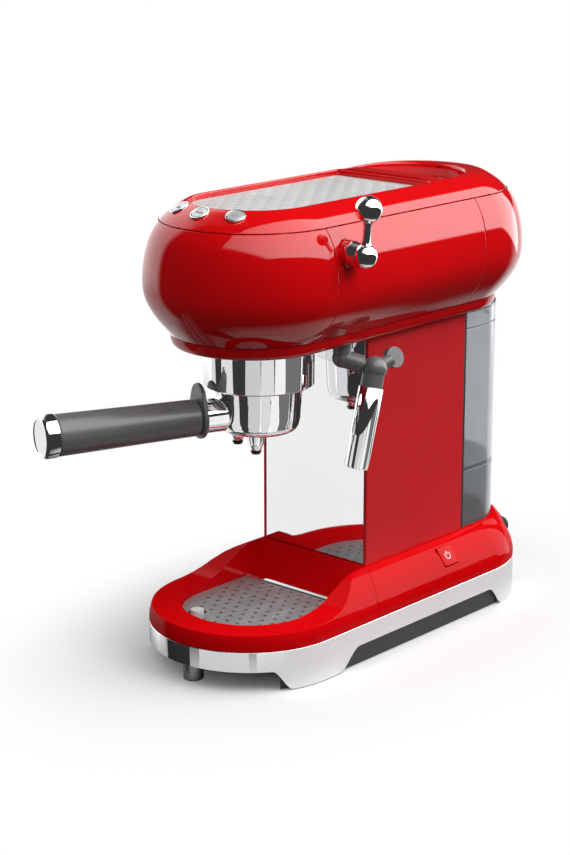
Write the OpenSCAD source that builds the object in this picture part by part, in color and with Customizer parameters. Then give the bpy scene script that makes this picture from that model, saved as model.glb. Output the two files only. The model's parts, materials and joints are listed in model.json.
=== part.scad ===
// Espresso machine with a bulging stadium-plan head on a slim column,
// a stadium-plan base with a lift-out drip tray, a portafilter, a steam
// wand and a rear water tank.  Millimetres, +Z up, front = -Y.
// Origin: centre of the footprint on the plane the machine stands on.

/* [Base] */
// Radius of the rounded ends of the base (half its width)
base_r = 70; // [69.5:0.5:70.5]
// Distance from the middle to the centre of each rounded end
base_y = 95; // [94.5:0.5:95.5]
// Underside of the chrome band between its legs
band_z0 = 14.6; // [14:0.2:15]
// Top edge of the chrome band
band_z1 = 28.8; // [28.6:0.2:28.8]
// Height of the deck that carries the column and the tank
deck_z = 58.6; // [58.4:0.1:58.6]
// Wall thickness of the painted housings
wall = 2.5; // [2:0.1:2.6]

/* [Head] */
// Centre of the front rounded end of the head
head_yf = -91; // [-91.5:0.5:-90.5]
// Centre of the rear rounded end of the head
head_yr = 87.5; // [87:0.5:88]
// Front seam, where the nose shell meets the side panels
seam_front = -89.6; // [-90:0.1:-89]
// Rear seam, where the side panels meet the rear shell
seam_rear = 69; // [68:0.5:70]
// Half width of the cup warmer recess
warmer_r = 42.5; // [42:0.1:42.6]

/* [Group and portafilter] */
// Y of the brewing group axis
group_y = -86; // [-86.5:0.5:-85.5]
// Outer radius of the chrome group collar
collar_r = 38.2; // [37.8:0.1:38.4]
// Height of the portafilter handle axis
handle_z = 175; // [174:0.5:176]
// Angle of the handle from straight ahead, towards the user's left
handle_turn = 22; // [20:1:24]
// Length from the group axis to the handle's end
handle_len = 157; // [150:1:160]

/* [Perforated plates] */
// Pitch of the staggered holes in the cup warmer plate
warmer_pitch = 12; // [11:0.5:14]
// Diameter of those holes
warmer_hole = 3; // [2.4:0.2:3.4]
// Pitch of the holes in the drip grille
grille_pitch = 9; // [8.5:0.5:12]
// Diameter of those holes
grille_hole = 3; // [2.4:0.2:3.6]

/* [Tank] */
// Radius of the tank's rounded back
tank_r = 46.5; // [46:0.1:46.6]
// Y of the centre of the tank's rounded back
tank_y = 105; // [104.5:0.5:105.5]
// Wall thickness of the tank
tank_wall = 2.2; // [2:0.1:2.6]

/* [Hidden] */
$fn = 96;
eps = 0.01;

red = [0.78, 0.02, 0.03];
chrome = [0.82, 0.83, 0.85];
steel = [0.72, 0.73, 0.74];
dark = [0.1, 0.1, 0.11];
grey = [0.36, 0.36, 0.37];
smoke = [0.55, 0.57, 0.58, 0.5];

group_top = 222.1;
band_wall = 2.5;
button_turn = 30;
button_ring_r = 50;
button_z = 316.6;
button_tilt = 25;
lever_y = -77.5;
lever_z = 290;
mount_p = [45, -52];
elbow_p = [62, -38, 205];
wand_tip = [60.5, -55, 138.6];
switch_p = [61.8, 47.5, 50.3];
switch_tilt = 52;
spout_c = [-3.5, -94];
spout_d = [13, -5];

// ---- profile helpers ----
// Catmull-Rom point between p[i] and p[i+1]
function cr(a, b, c, d, t) = 0.5 * ((2 * b) + (c - a) * t + (2 * a - 5 * b + 4 * c - d) * t * t + (3 * b - a - 3 * c + d) * t * t * t);
function smooth(p, n) = concat([for (i = [0:len(p) - 2]) for (k = [0:n - 1])
    cr(p[max(i - 1, 0)], p[i], p[i + 1], p[min(i + 2, len(p) - 1)], k / n)], [p[len(p) - 1]]);
function unit(v) = v / norm(v);
// a curve moved sideways by t (to its left when followed upwards)
function inset(q, t) = [for (i = [0:len(q) - 1])
    let (d = unit(q[min(i + 1, len(q) - 1)] - q[max(i - 1, 0)])) q[i] + t * [-d[1], d[0]]];
function rev(q) = [for (i = [len(q) - 1:-1:0]) q[i]];
function skin(q, t) = concat(q, rev(inset(q, t)));

// Head outline, (radius, height), between the bottom pan and the top seam
head_side = [[56.6, 231.4], [60, 235.2], [64.2, 240], [69.6, 248], [73.2, 256], [74.5, 264.5],
    [74.3, 272], [73.4, 280], [71.8, 288], [69.2, 296], [65.4, 303], [62.2, 306.8]];
// Crown above the top seam
head_crown = [[61.8, 307.2], [58.8, 310.2], [54, 313.8], [49, 316.8], [44.6, 318.9]];
// Flank of the rear deck
deck_side = [[70, 29], [69.9, 33], [68.8, 38.2], [66.8, 43], [63.6, 48], [59.4, 52.6], [54.2, 56.2], [49.6, 58.2], [48, 58.6]];
// Steeper back of the deck round the tank
deck_back = [[60, 29], [59.8, 36], [58.6, 44], [55.4, 52], [51, 57.4], [49, 58.6]];

// ---- solids with a stadium plan ----
module arc_front(pts, y) translate([0, y, 0]) rotate([0, 0, 180]) rotate_extrude(angle = 180) polygon(pts);
module arc_rear(pts, y) translate([0, y, 0]) rotate_extrude(angle = 180) polygon(pts);
module run(pts, y0, y1, sides = [0, 1]) for (s = sides) mirror([s, 0, 0])
    translate([0, y1, 0]) rotate([90, 0, 0]) linear_extrude(y1 - y0) polygon(pts);
module stadium_body(pts, yf, yr) { arc_front(pts, yf); run(pts, yf, yr); arc_rear(pts, yr); }
module stadium2(r, yf, yr) {
    translate([0, yf]) circle(r);
    translate([0, yr]) circle(r);
    translate([-r, yf]) square([2 * r, yr - yf]);
}
module slab(r, yf, yr, z0, z1) translate([0, 0, z0]) linear_extrude(z1 - z0) stadium2(r, yf, yr);
module block(x0, x1, y0, y1, z0, z1) translate([x0, y0, z0]) cube([x1 - x0, y1 - y0, z1 - z0]);
// D-shaped plan: straight front edge, round back
module dee2(r, y0, yc) {
    translate([0, yc]) intersection() { circle(r); translate([-r, 0]) square([2 * r, r]); }
    translate([-r, y0]) square([2 * r, yc - y0]);
}
module dee(r, y0, yc, z0, z1) translate([0, 0, z0]) linear_extrude(z1 - z0) dee2(r, y0, yc);
// rod between two points
module rod(a, b, r, fn = 40) {
    d = b - a; l = norm(d);
    translate(a) rotate([0, acos(d[2] / l), atan2(d[1], d[0])]) cylinder(h = l, r = r, $fn = fn);
}
module hose(p, r) for (i = [0:len(p) - 2]) { rod(p[i], p[i + 1], r, 24); if (i > 0) translate(p[i]) sphere(r * 1.08, $fn = 24); }
module at_button(k) translate([0, head_yf, 0]) rotate([0, 0, k * button_turn])
    translate([0, -button_ring_r, button_z]) rotate([button_tilt, 0, 0]) children();
module at_switch() translate(switch_p) rotate([0, switch_tilt, 0]) children();
module at_handle() translate([0, group_y, handle_z]) rotate([0, 0, -handle_turn]) rotate([90, 0, 0]) children();
module staggered(pitch, rowgap, w, y0, y1) for (j = [0:floor((y1 - y0) / rowgap)])
    for (i = [-floor(w / pitch) - 1:floor(w / pitch) + 1])
        translate([i * pitch + (j % 2) * pitch / 2, y0 + j * rowgap]) children();

// ---- base ----
// S-curved flank of a cut-out between two legs; x = run, h = height
function s_flank(x0, x1, h, n) = [for (k = [0:n]) [x0 + (x1 - x0) * k / n, h * (1 - cos(180 * k / n)) / 2]];
module chrome_plinth() color(chrome) difference() {
    slab(base_r, -base_y, base_y, 0.6, band_z1);
    slab(base_r - band_wall, -base_y, base_y, -1, band_z1 + 1);
    // side cut-outs
    translate([-90, 0, 0]) rotate([90, 0, 90]) linear_extrude(180)
        polygon(concat([[-84, -1]], s_flank(-82, -60, band_z0, 8), rev(s_flank(106, 89, band_z0, 8)), [[108, -1]]));
    // front cut-out
    translate([0, -base_y - 20, 0]) rotate([90, 0, 0]) linear_extrude(80)
        polygon(concat([[-66, -1]], s_flank(-65, -57, band_z0, 8), rev(s_flank(65, 57, band_z0, 8)), [[66, -1]]));
    // rear cut-out
    translate([0, base_y + 90, 0]) rotate([90, 0, 0]) linear_extrude(60)
        polygon(concat([[-54, -1]], s_flank(-52, -43, band_z0, 8), rev(s_flank(52, 43, band_z0, 8)), [[54, -1]]));
}
module bottom_pan() color(dark) difference() {
    union() {
        slab(67.2, -base_y, base_y, 14.8, 17.4);
        // skirt behind the chrome band, down to just above the floor
        difference() {
            slab(67.2, -base_y, base_y, 0.8, 28.4);
            slab(65.6, -base_y, base_y, 0, 30);
        }
        for (x = [-40, 40], y = [-10, 110]) translate([x, y, 17]) cylinder(h = 14, r = 4.5, $fn = 40);
    }
    for (x = [-40, 40], y = [-10, 110]) translate([x, y, 10]) cylinder(h = 30, r = 1.7, $fn = 32);
    for (k = [0:6]) block(-28, 28, 20 + 9 * k, 24 + 9 * k, 14, 19);
    // the skirt is open under the front and the back
    block(-58, 58, -170, -100, -1, 14.8);
    block(-46, 46, 100, 170, -1, 14.8);
}
module rubber_feet() color(dark) for (x = [-52, 52], y = [-100, 100])
    translate([x, y, 0]) cylinder(h = 14.8, r = 8, $fn = 48);
module front_foot() color(grey) translate([0, -152, 0]) union() {
    cylinder(h = 14.8, r = 7, $fn = 64);
}
module deck_shape(t) union() {
    stadium_body(concat([[0, 29]], inset(deck_side, t), [[0, deck_z - t]]), -39, base_y);
    arc_rear(concat([[0, 29]], inset(deck_back, t), [[0, deck_z - t]]), tank_y);
}
// plan of the joint between tray and deck: straight across the flanks,
// then diagonally to the corners of the column; d shifts it back
module deck_plan(d) polygon([[-80, -39 + d], [-68, -39 + d], [-48.2, -28.1 + d], [48.2, -28.1 + d], [68, -39 + d], [80, -39 + d], [80, 170], [-80, 170]]);
module tray_plan() polygon([[-80, -39.3], [-68, -39.3], [-48.2, -28.4], [48.2, -28.4], [68, -39.3], [80, -39.3], [80, -170], [-80, -170]]);
module deck_housing() color(red) difference() {
    intersection() { deck_shape(0); translate([0, 0, 29]) linear_extrude(40) deck_plan(0); }
    intersection() { deck_shape(wall); translate([0, 0, 20]) linear_extrude(60) deck_plan(wall); }
    // window under the column and under the tank coupling
    block(-40, 40, -14, 74, 50, 60);
    // pocket of the power switch
    at_switch() translate([-7.7, -7.9, -14]) cube([15.4, 15.8, 20]);
    // cord gland
    translate([30, base_y + 80, 40]) rotate([90, 0, 0]) cylinder(h = 60, r = 6.1, $fn = 48);
}
// outline of the tray's top seen from the side, (y, z)
tray_top = concat(smooth([[-112, 40], [-92, 40.6], [-76, 43.6], [-62, 50.6], [-50, 56.6], [-39.3, 58.6]], 3), [[-28.4, 58.6]]);
module drip_tray() color(red) difference() {
    intersection() {
        union() {
            stadium_body(concat([[0, 29.1]], deck_side, [[0, deck_z]]), -base_y, -20);
            slab(64.8, -base_y, -47, 18.2, 29.6);
        }
        translate([-80, 0, 0]) rotate([90, 0, 90]) linear_extrude(160)
            polygon(concat([[-170, 10], [-170, 40]], tray_top, [[-28.4, 10]]));
        linear_extrude(80) tray_plan();
    }
    // basin with a ledge for the grille
    translate([0, 0, 33]) linear_extrude(60) stadium2(48, -base_y, -90);
    translate([0, 0, 21]) linear_extrude(60) stadium2(45, -base_y, -90);
    // rear part of the basin up to the sloping back wall
    rotate([90, 0, 90]) translate([0, 0, -48]) linear_extrude(96)
        polygon([[-92, 33], [-92, 80], [-30.6, 80], [-30.6, 58.7], [-43.5, 34], [-43.5, 33]]);
    block(-45, 45, -92, -47, 21, 60);
    // hollow under the back wall and the rim
    rotate([90, 0, 90]) translate([0, 0, -46]) linear_extrude(92)
        polygon([[-43, 18], [-43, 30], [-33, 49], [-31, 49], [-31, 18]]);
}
module drip_grille() color(steel) translate([0, 0, 33.1]) difference() {
    union() {
        linear_extrude(1.4) difference() {
            union() {
                translate([0, -base_y]) circle(47.4);
                translate([-47.4, -base_y]) square([94.8, base_y - 44.2]);
            }
            intersection() {
                staggered(grille_pitch, grille_pitch * 0.87, 44, -base_y - 36, -52) circle(grille_hole / 2, $fn = 20);
                union() {
                    translate([0, -base_y]) circle(40.5);
                    translate([-40.5, -base_y]) square([81, base_y - 49]);
                }
            }
            // slot of the level float
            translate([-22, -base_y - 30]) circle(6.6, $fn = 40);
        }
        // raised rear lip
        block(-47.4, 47.4, -45.8, -44.2, 0, 3.4);
    }
}
module tray_float() color([0.8, 0.8, 0.8]) translate([-22, -base_y - 30, 0]) union() {
    translate([0, 0, 21.4]) cylinder(h = 11, r = 6, $fn = 40);
    translate([0, 0, 32.4]) cylinder(h = 4.2, r = 4.5, $fn = 40);
}

// ---- column ----
module column_housing() color(red) difference() {
    block(-48, 48, -28, 81, deck_z + 0.1, 222.1);
    block(-48 + wall, 48 - wall, -40, 81 - wall, 50, 230);
    // coupling of the tank
    translate([0, 90, 72]) rotate([90, 0, 0]) cylinder(h = 30, r = 11.2, $fn = 48);
}
module mirror_panel() color(chrome) difference() {
    block(-45.4, 45.4, -28, -25.6, deck_z + 0.8, 222.1);
}
module column_frame() color(dark) difference() {
    block(-47.4, 47.4, 81.1, 83.9, deck_z + 0.1, 222);
    block(-40, 40, 80, 85, 96, 205);
    translate([0, 90, 72]) rotate([90, 0, 0]) cylinder(h = 30, r = 11.2, $fn = 48);
}
module tank_socket() color(dark) translate([0, 83.9, 72]) rotate([90, 0, 0]) difference() {
    union() {
        cylinder(h = 9, r = 11, $fn = 48);
        translate([0, 0, 5.6]) cylinder(h = 3, r = 12.8, $fn = 48);
    }
    translate([0, 0, -1]) cylinder(h = 7, r = 6.08, $fn = 48);
    translate([0, 0, 4]) cylinder(h = 10, r = 3.2, $fn = 48);
}

// ---- water tank ----
module tank_plan(d) intersection() {
    union() {
        translate([0, tank_y]) circle(tank_r - d);
        translate([-tank_r + d, 84.4 + d]) square([2 * (tank_r - d), tank_y - 84.4 - d]);
    }
    translate([-80, 84.4 + d]) square([160, 100]);
}
module tank_body() color(smoke) difference() {
    translate([0, 0, 101.2]) linear_extrude(106.8) tank_plan(0);
    translate([0, 0, 103.6]) linear_extrude(110) tank_plan(tank_wall);
    // outlet to the valve
    translate([0, 95, 95]) cylinder(h = 20, r = 5.1, $fn = 40);
}
module tank_foot() color(smoke) difference() {
    translate([0, 0, deck_z + 0.4]) linear_extrude(101 - deck_z - 0.4) tank_plan(0);
    translate([0, 0, deck_z + 2.6]) linear_extrude(60) tank_plan(tank_wall);
    translate([0, 100, 72]) rotate([90, 0, 0]) cylinder(h = 30, r = 6.1, $fn = 48);
}
module tank_valve() color(dark) difference() {
    union() {
        // outlet elbow: up through the floor of the tank, forward into the coupling
        translate([0, 95, 66]) cylinder(h = 35, r = 8, $fn = 48);
        translate([0, 95, 66]) cylinder(h = 45, r = 5, $fn = 48);
        translate([0, 95, 72]) rotate([90, 0, 0]) cylinder(h = 17, r = 6, $fn = 48);
        // strainer dome on the floor of the tank
        translate([0, 95, 103.7]) intersection() {
            translate([0, -8, 0]) rotate([0, 90, 0]) translate([0, 0, -20]) cylinder(h = 40, r = 19, $fn = 64);
            block(-20, 20, -8, 19, 0, 20);
        }
    }
    translate([0, 95, 72]) cylinder(h = 60, r = 2.6, $fn = 32);
    translate([0, 96, 72]) rotate([90, 0, 0]) cylinder(h = 30, r = 2.6, $fn = 32);
}
module tank_lid() color(smoke) difference() {
    translate([0, 0, 208.3]) linear_extrude(13.6) tank_plan(0);
    translate([0, 0, 207]) linear_extrude(12.8) tank_plan(tank_wall);
    dee(24.5, 89, 97, 200, 240);
}
module fill_flap() color([0.85, 0.88, 0.88, 0.6]) union() {
    dee(40.6, 62.6, 70, 307.6, 310);
    translate([-42.9, 62.6, 308.8]) rotate([0, 90, 0]) cylinder(h = 85.8, r = 1.2, $fn = 32);
}
module fill_funnel() color([0.8, 0.8, 0.8]) difference() {
    union() {
        dee(45.2, 58, 70, 296, 306.4);
        dee(23.4, 88, 97, 222.3, 297);
    }
    dee(43, 60.2, 70, 298.2, 310);
    dee(21.4, 90, 97, 210, 300);
}

// ---- head ----
side_q = smooth(head_side, 2);
crown_q = smooth(head_crown, 2);
module head_nose_shell() color(red) union() {
    arc_front(skin(side_q, wall), head_yf);
    run(skin(side_q, wall), head_yf, seam_front - 0.2);
}
module side_panel_left() color(red) run(skin(side_q, wall), seam_front + 0.2, seam_rear - 0.2, [1]);
module side_panel_right() color(red) difference() {
    run(skin(side_q, wall), seam_front + 0.2, seam_rear - 0.2, [0]);
    translate([60, lever_y, lever_z]) rotate([0, 90, 0]) cylinder(h = 30, r = 9.3, $fn = 64);
}
module head_rear_shell() color(red) union() {
    arc_rear(skin(side_q, wall), head_yr);
    run(skin(side_q, wall), seam_rear + 0.2, head_yr);
}
module head_top_cover() color(red) difference() {
    stadium_body(concat([[0, 307.2]], crown_q, [[30, 320.2], [0, 320.4]]), head_yf, head_yr);
    // hollow underneath, leaving the walls round both recesses
    difference() {
        stadium_body([[0, 300], [60.4, 300], [60.4, 306], [57, 308.6], [52.4, 311.6], [47.6, 314.4], [44, 316.2], [0, 316.2]], head_yf, head_yr);
        difference() {
            slab(warmer_r + 2.2, head_yf, 46, 300, 330);
            slab(warmer_r - 2.4, head_yf, 60, 290, 340);
        }
        block(-warmer_r - 2.2, warmer_r + 2.2, 46, 60.4, 300, 330);
        dee(warmer_r + 3.4, 48, 70, 300, 330);
    }
    // cup warmer recess with a ledge
    translate([0, 0, 314.2]) linear_extrude(20) intersection() {
        stadium2(warmer_r, head_yf, 60);
        translate([-60, -160]) square([120, 160 + 45]);
    }
    translate([0, 0, 290]) linear_extrude(40) intersection() {
        stadium2(warmer_r - 2.4, head_yf, 60);
        translate([-60, -160]) square([120, 160 + 43]);
    }
    // D-shaped filling well
    dee(41.6, 60.4, 70, 290, 340);
    // sockets of the flap's hinge pins
    translate([-43.4, 62.6, 308.8]) rotate([0, 90, 0]) cylinder(h = 86.8, r = 1.3, $fn = 32);
    // button holes
    for (k = [-1, 0, 1]) at_button(k) translate([0, 0, -9]) cylinder(h = 20, r = 6.75, $fn = 48);
}
module head_bottom_pan() color(red) difference() {
    stadium_body([[0, 222.4], [51.6, 222.4], [54, 223.4], [55.4, 225.6], [56, 228.2], [56.2, 231],
        [53.7, 231], [53.4, 228.6], [52.6, 226.6], [51.4, 225], [0, 224.9]], head_yf, head_yr);
    // brewing group
    translate([0, group_y, 200]) cylinder(h = 40, r = 34.2);
    // column passage, filling chute, wand
    block(-40, 40, -20, 74, 210, 240);
    dee(24, 87, 97, 210, 240);
    translate([mount_p[0], mount_p[1], 200]) cylinder(h = 40, r = 6.6, $fn = 48);
}
module cup_warmer_plate() color(steel) translate([0, 0, 314.3]) linear_extrude(1.2) difference() {
    intersection() {
        stadium2(warmer_r - 0.3, head_yf, 60);
        translate([-60, -160]) square([120, 160 + 44.7]);
    }
    intersection() {
        staggered(warmer_pitch, 8, 44, head_yf - 34, 40) circle(warmer_hole / 2, $fn = 20);
        intersection() {
            stadium2(warmer_r - 5.5, head_yf, 60);
            translate([-60, -160]) square([120, 160 + 40]);
        }
    }
}
module button_bezels() color(chrome) for (k = [-1, 0, 1]) at_button(k) difference() {
    union() {
        translate([0, 0, -2.6]) cylinder(h = 3.1, r = 6.7, $fn = 48);
    }
    translate([0, 0, -9]) cylinder(h = 20, r = 5.7, $fn = 48);
}
module one_button() union() {
    translate([0, 0, -3]) cylinder(h = 3.6, r = 5.4, $fn = 48);
    translate([0, 0, -7.4]) cylinder(h = 4.6, r = 2, $fn = 32);
}
module button_left() color(steel) at_button(-1) one_button();
module button_middle() color(steel) at_button(0) one_button();
module button_right() color(steel) at_button(1) one_button();
module button_board() color([0.1, 0.3, 0.16]) union() {
    for (k = [-1, 0, 1]) at_button(k) {
        translate([-3, -3, -13.4]) cube([6, 3.9, 4.35]);
        translate([-5, -5, -15]) cube([10, 10, 1.7]);
    }
    // arched carrier under the three switches
    translate([0, head_yf, 0]) rotate([0, 0, -130]) rotate_extrude(angle = 80)
        polygon([[40, 299.4], [46.5, 299.4], [46.5, 304.4], [40, 304.4]]);
}

// ---- brewing group ----
module group_collar() color(chrome) translate([0, group_y, 0]) difference() {
    translate([0, 0, 0]) rotate_extrude() polygon([[33.6, 193.6], [37.2, 193.6], [collar_r, 194.6], [collar_r, 222.2], [33.6, 222.2]]);
}
module group_head() color(steel) translate([0, group_y, 0]) difference() {
    union() {
        translate([0, 0, 194]) cylinder(h = 46, r = 33.4);
    }
    // socket of the portafilter: entry, lug channel, gasket seat
    translate([0, 0, 190]) cylinder(h = 7, r = 30.5);
    translate([0, 0, 196.8]) cylinder(h = 5, r = 32.6);
    translate([0, 0, 201]) cylinder(h = 8.2, r = 30.5);
    translate([0, 0, 209.1]) cylinder(h = 2.4, r = 24);
    // entry slots of the two lugs
    for (a = [0, 180]) rotate([0, 0, a + 90 - handle_turn - 30]) block(0, 32.6, -9.5, 9.5, 190, 197.5);
    // water way
    translate([0, 0, 205]) cylinder(h = 40, r = 3, $fn = 32);
}
module group_gasket() color(dark) translate([0, group_y, 0]) rotate_extrude()
    polygon([[25.4, 203.6], [30.3, 203.6], [30.3, 209], [25.4, 209]]);
module shower_screen() color(steel) translate([0, group_y, 0]) difference() {
    union() {
        translate([0, 0, 204.4]) cylinder(h = 1.2, r = 23.8);
        difference() {
            translate([0, 0, 204.4]) cylinder(h = 4.6, r = 23.8);
            translate([0, 0, 204]) cylinder(h = 6, r = 22.6);
        }
    }
    for (r = [7, 14, 19.5], i = [0:5 + r / 2]) rotate([0, 0, i * 360 / (6 + floor(r / 2))]) translate([r, 0, 200]) cylinder(h = 8, r = 1, $fn = 16);
}

// ---- portafilter ----
module filter_basket() color(steel) translate([0, group_y, 0]) difference() {
    rotate_extrude() polygon([[0, 179.4], [22.6, 179.4], [24.9, 181.4], [25.3, 186], [25.3, 202.3], [29.6, 202.3], [29.6, 203.3], [24.6, 203.3], [24.6, 186], [24.2, 182], [22.2, 180.2], [0, 180.2]]);
    for (r = [6, 12, 18], i = [0:5 + r / 3]) rotate([0, 0, i * 360 / (6 + floor(r / 3))]) translate([r, 0, 170]) cylinder(h = 20, r = 0.8, $fn = 16);
}
module portafilter_body() color(chrome) difference() {
    translate([0, group_y, 0]) union() {
        rotate_extrude() polygon([[0, 163.2], [23.2, 163.2], [23.6, 162.3], [25.2, 162.3], [27, 163.7], [28.2, 166.6], [28.9, 171], [29.3, 178],
            [30, 192], [30.2, 202.2], [25.9, 202.2], [25.6, 186], [25.2, 181], [23, 178.8], [8, 176.4], [0, 176]]);
        // bayonet lugs
        intersection() {
            rotate_extrude() polygon([[28, 197.2], [32.2, 197.2], [32.2, 200.8], [28, 200.8]]);
            rotate([0, 0, 90 - handle_turn]) block(-40, 40, -8, 8, 190, 210);
        }
    }
    // two drain channels down to the spouts
    for (s = [-1, 1]) translate([spout_c[0] + s * spout_d[0] * 0.75, spout_c[1] + s * spout_d[1] * 0.75, 150]) cylinder(h = 29, r = 2.6, $fn = 24);
    // seat of the handle neck
    at_handle() translate([0, 0, 25.7]) cylinder(h = 20, r = 8.05, $fn = 48);
}
module spout_body() color(chrome) difference() {
    union() {
        // bridge under the bowl
        linear_extrude_bridge(159.2, 162.8);
        for (s = [-1, 1]) translate([spout_c[0] + s * spout_d[0], spout_c[1] + s * spout_d[1], 0])
            rotate_extrude($fn = 48) polygon([[0, 151.6], [3.7, 151.6], [5.2, 155], [5.9, 158.6], [5.9, 163.1], [0, 163.1]]);
    }
    // straight bores that open into the drains of the bowl
    for (s = [-1, 1]) translate([spout_c[0] + s * spout_d[0], spout_c[1] + s * spout_d[1], 150]) cylinder(h = 20, r = 2.1, $fn = 24);
}
module linear_extrude_bridge(z0, z1) translate([spout_c[0], spout_c[1], z0]) rotate([0, 0, atan2(spout_d[1], spout_d[0])])
    linear_extrude(z1 - z0) { translate([-11, -4.6]) square([22, 9.2]); }
module spout_tips() color(dark) for (s = [-1, 1]) translate([spout_c[0] + s * spout_d[0], spout_c[1] + s * spout_d[1], 0])
    rotate_extrude($fn = 40) polygon([[1.2, 148.6], [2.9, 148.6], [3.6, 149.8], [3.6, 151.5], [2, 151.5], [2, 156], [1.2, 156]]);
module handle_neck() color(chrome) union() {
    at_handle() translate([0, 0, 25.9]) cylinder(h = 6, r = 8, $fn = 48);
    // saddle that follows the bowl
    difference() {
        at_handle() translate([0, 0, 24]) cylinder(h = 18.4, r = 11.6, $fn = 64);
        translate([0, group_y, 0]) rotate_extrude()
            polygon([[0, 150], [25.3, 150], [25.3, 162.2], [27.1, 163.6], [28.3, 166.5], [29, 170.9], [29.4, 178], [30.1, 192], [30.1, 198], [0, 198]]);
    }
    // threaded stud through the grip
    at_handle() translate([0, 0, 42]) cylinder(h = 106, r = 4.95, $fn = 40);
}
module thumb_guard() color(grey) at_handle() translate([0, 0, 42.6]) difference() {
    linear_extrude(3) difference() {
        hull() { circle(14.6, $fn = 32); translate([0, 13.5]) circle(10, $fn = 32); }
        circle(5.1, $fn = 40);
    }
}
module handle_grip() color(grey) at_handle() difference() {
    rotate_extrude() polygon([[0, 45.8], [12, 45.8], [12.5, 46.6], [12.9, 80], [13.6, 120], [14, 146], [13.6, 146.6], [0, 146.6]]);
    translate([0, 0, 40]) cylinder(h = 120, r = 5.05, $fn = 40);
}
module handle_cap() color(chrome) at_handle() difference() {
    rotate_extrude() polygon([[0, 146.8], [14.3, 146.8], [14.6, 147.2], [14.6, handle_len - 2.4], [14, handle_len - 0.8], [12.4, handle_len], [11.6, handle_len - 0.5], [0, handle_len - 0.5]]);
    translate([0, 0, 140]) cylinder(h = 9, r = 5.05, $fn = 40);
}

// ---- steam lever and valve ----
module lever_socket() color(red) translate([0, lever_y, lever_z]) rotate([0, 90, 0]) difference() {
    rotate_extrude() polygon([[6.9, 64], [9.1, 64], [9.1, 74], [8.6, 74.8], [7.4, 74.8], [6.9, 74.2]]);
}
module steam_lever() color(chrome) union() {
    translate([34, lever_y, lever_z]) rotate([0, 90, 0]) cylinder(h = 36, r = 4, $fn = 40);
    translate([69.5, lever_y, lever_z]) rotate([0, 90, 0]) cylinder(h = 14, r = 6.5, $fn = 64);
    // bell of the hub, clear of the socket
    translate([75.3, lever_y, lever_z]) rotate([0, 90, 0]) cylinder(h = 9, r1 = 9, r2 = 7.4, $fn = 64);
    translate([85, lever_y, lever_z]) sphere(8.2, $fn = 64);
    rod([85, lever_y, lever_z], [86, lever_y + 2, lever_z + 30], 2.7, 40);
    translate([86, lever_y + 2, lever_z + 30]) sphere(9, $fn = 64);
}
module steam_valve() color([0.75, 0.6, 0.3]) difference() {
    union() {
        block(36, 58, lever_y - 11, lever_y + 11, lever_z - 13, lever_z + 11);
        translate([45, lever_y + 6, lever_z - 24]) cylinder(h = 12, r = 5, $fn = 32);
    }
    translate([32, lever_y, lever_z]) rotate([0, 90, 0]) cylinder(h = 40, r = 4.06, $fn = 40);
}

// ---- steam wand ----
module wand_mount() color(grey) translate([mount_p[0], mount_p[1], 0]) difference() {
    union() {
        translate([0, 0, 222.5]) cylinder(h = 8, r = 6.5, $fn = 48);
        // flange on the floor of the head, cut flat beside its wall
        intersection() {
            translate([0, 0, 225.1]) cylinder(h = 2, r = 9, $fn = 48);
            block(-20, 5.9, -20, 20, 220, 230);
        }
    }
    translate([0, 0, 220]) cylinder(h = 20, r = 4.06, $fn = 40);
}
arm_dir = unit([elbow_p[0] - mount_p[0], elbow_p[1] - mount_p[1], elbow_p[2] - 212]);
module wand_arm() color(grey) union() {
    translate([mount_p[0], mount_p[1], 212]) cylinder(h = 10, r = 6.2, $fn = 48);
    translate([mount_p[0], mount_p[1], 212]) cylinder(h = 18, r = 4, $fn = 40);
    translate([mount_p[0], mount_p[1], 212]) sphere(6.7, $fn = 48);
    rod([mount_p[0], mount_p[1], 212], elbow_p - 8.6 * arm_dir, 6.2, 48);
    rod(elbow_p - 9.6 * arm_dir, elbow_p + 3 * arm_dir, 4, 40);
}
wand_dir = unit(wand_tip - elbow_p);
module wand_elbow() color(grey) difference() {
    union() {
        translate(elbow_p) sphere(8.4, $fn = 64);
        rod(elbow_p, elbow_p + 12.4 * wand_dir, 7.6, 48);
        // finger tab
        rod(elbow_p, elbow_p + [3, 13, 4], 4.6, 40);
        translate(elbow_p + [3, 16, 5]) rotate([0, 70, -10]) translate([0, 0, -2.4]) cylinder(h = 4.8, r = 7.2, $fn = 48);
    }
    // bearing of the arm
    rod(elbow_p - 12 * arm_dir, elbow_p + 3.4 * arm_dir, 4.06, 40);
    // flat against the arm's shoulder
    rod(elbow_p - 14 * arm_dir, elbow_p - 8 * arm_dir, 9, 48);
    // bore for the steam pipe
    rod(elbow_p + 6.5 * wand_dir, elbow_p + 20 * wand_dir, 3.55, 32);
}
module wand_pipe() color(steel) union() {
    rod(elbow_p + 6.6 * wand_dir, elbow_p + 62 * wand_dir, 3.5, 32);
    rod(elbow_p + 62 * wand_dir, elbow_p + 65 * wand_dir, 2.2, 32);
}
module frother_sleeve() color(chrome) difference() {
    union() {
        rod(elbow_p + 12.7 * wand_dir, elbow_p + 68.5 * wand_dir, 8.5, 64);
    }
    rod(elbow_p + 40 * wand_dir, elbow_p + 80 * wand_dir, 6, 48);
    rod(elbow_p + 10 * wand_dir, elbow_p + 42 * wand_dir, 3.6, 32);
}

// ---- power switch ----
module power_switch() color(red) at_switch() union() {
    translate([-7.4, -7.6, -4]) cube([14.8, 15.2, 4.4]);
    translate([-3, -3, -8]) cube([6, 6, 5]);
}

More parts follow.
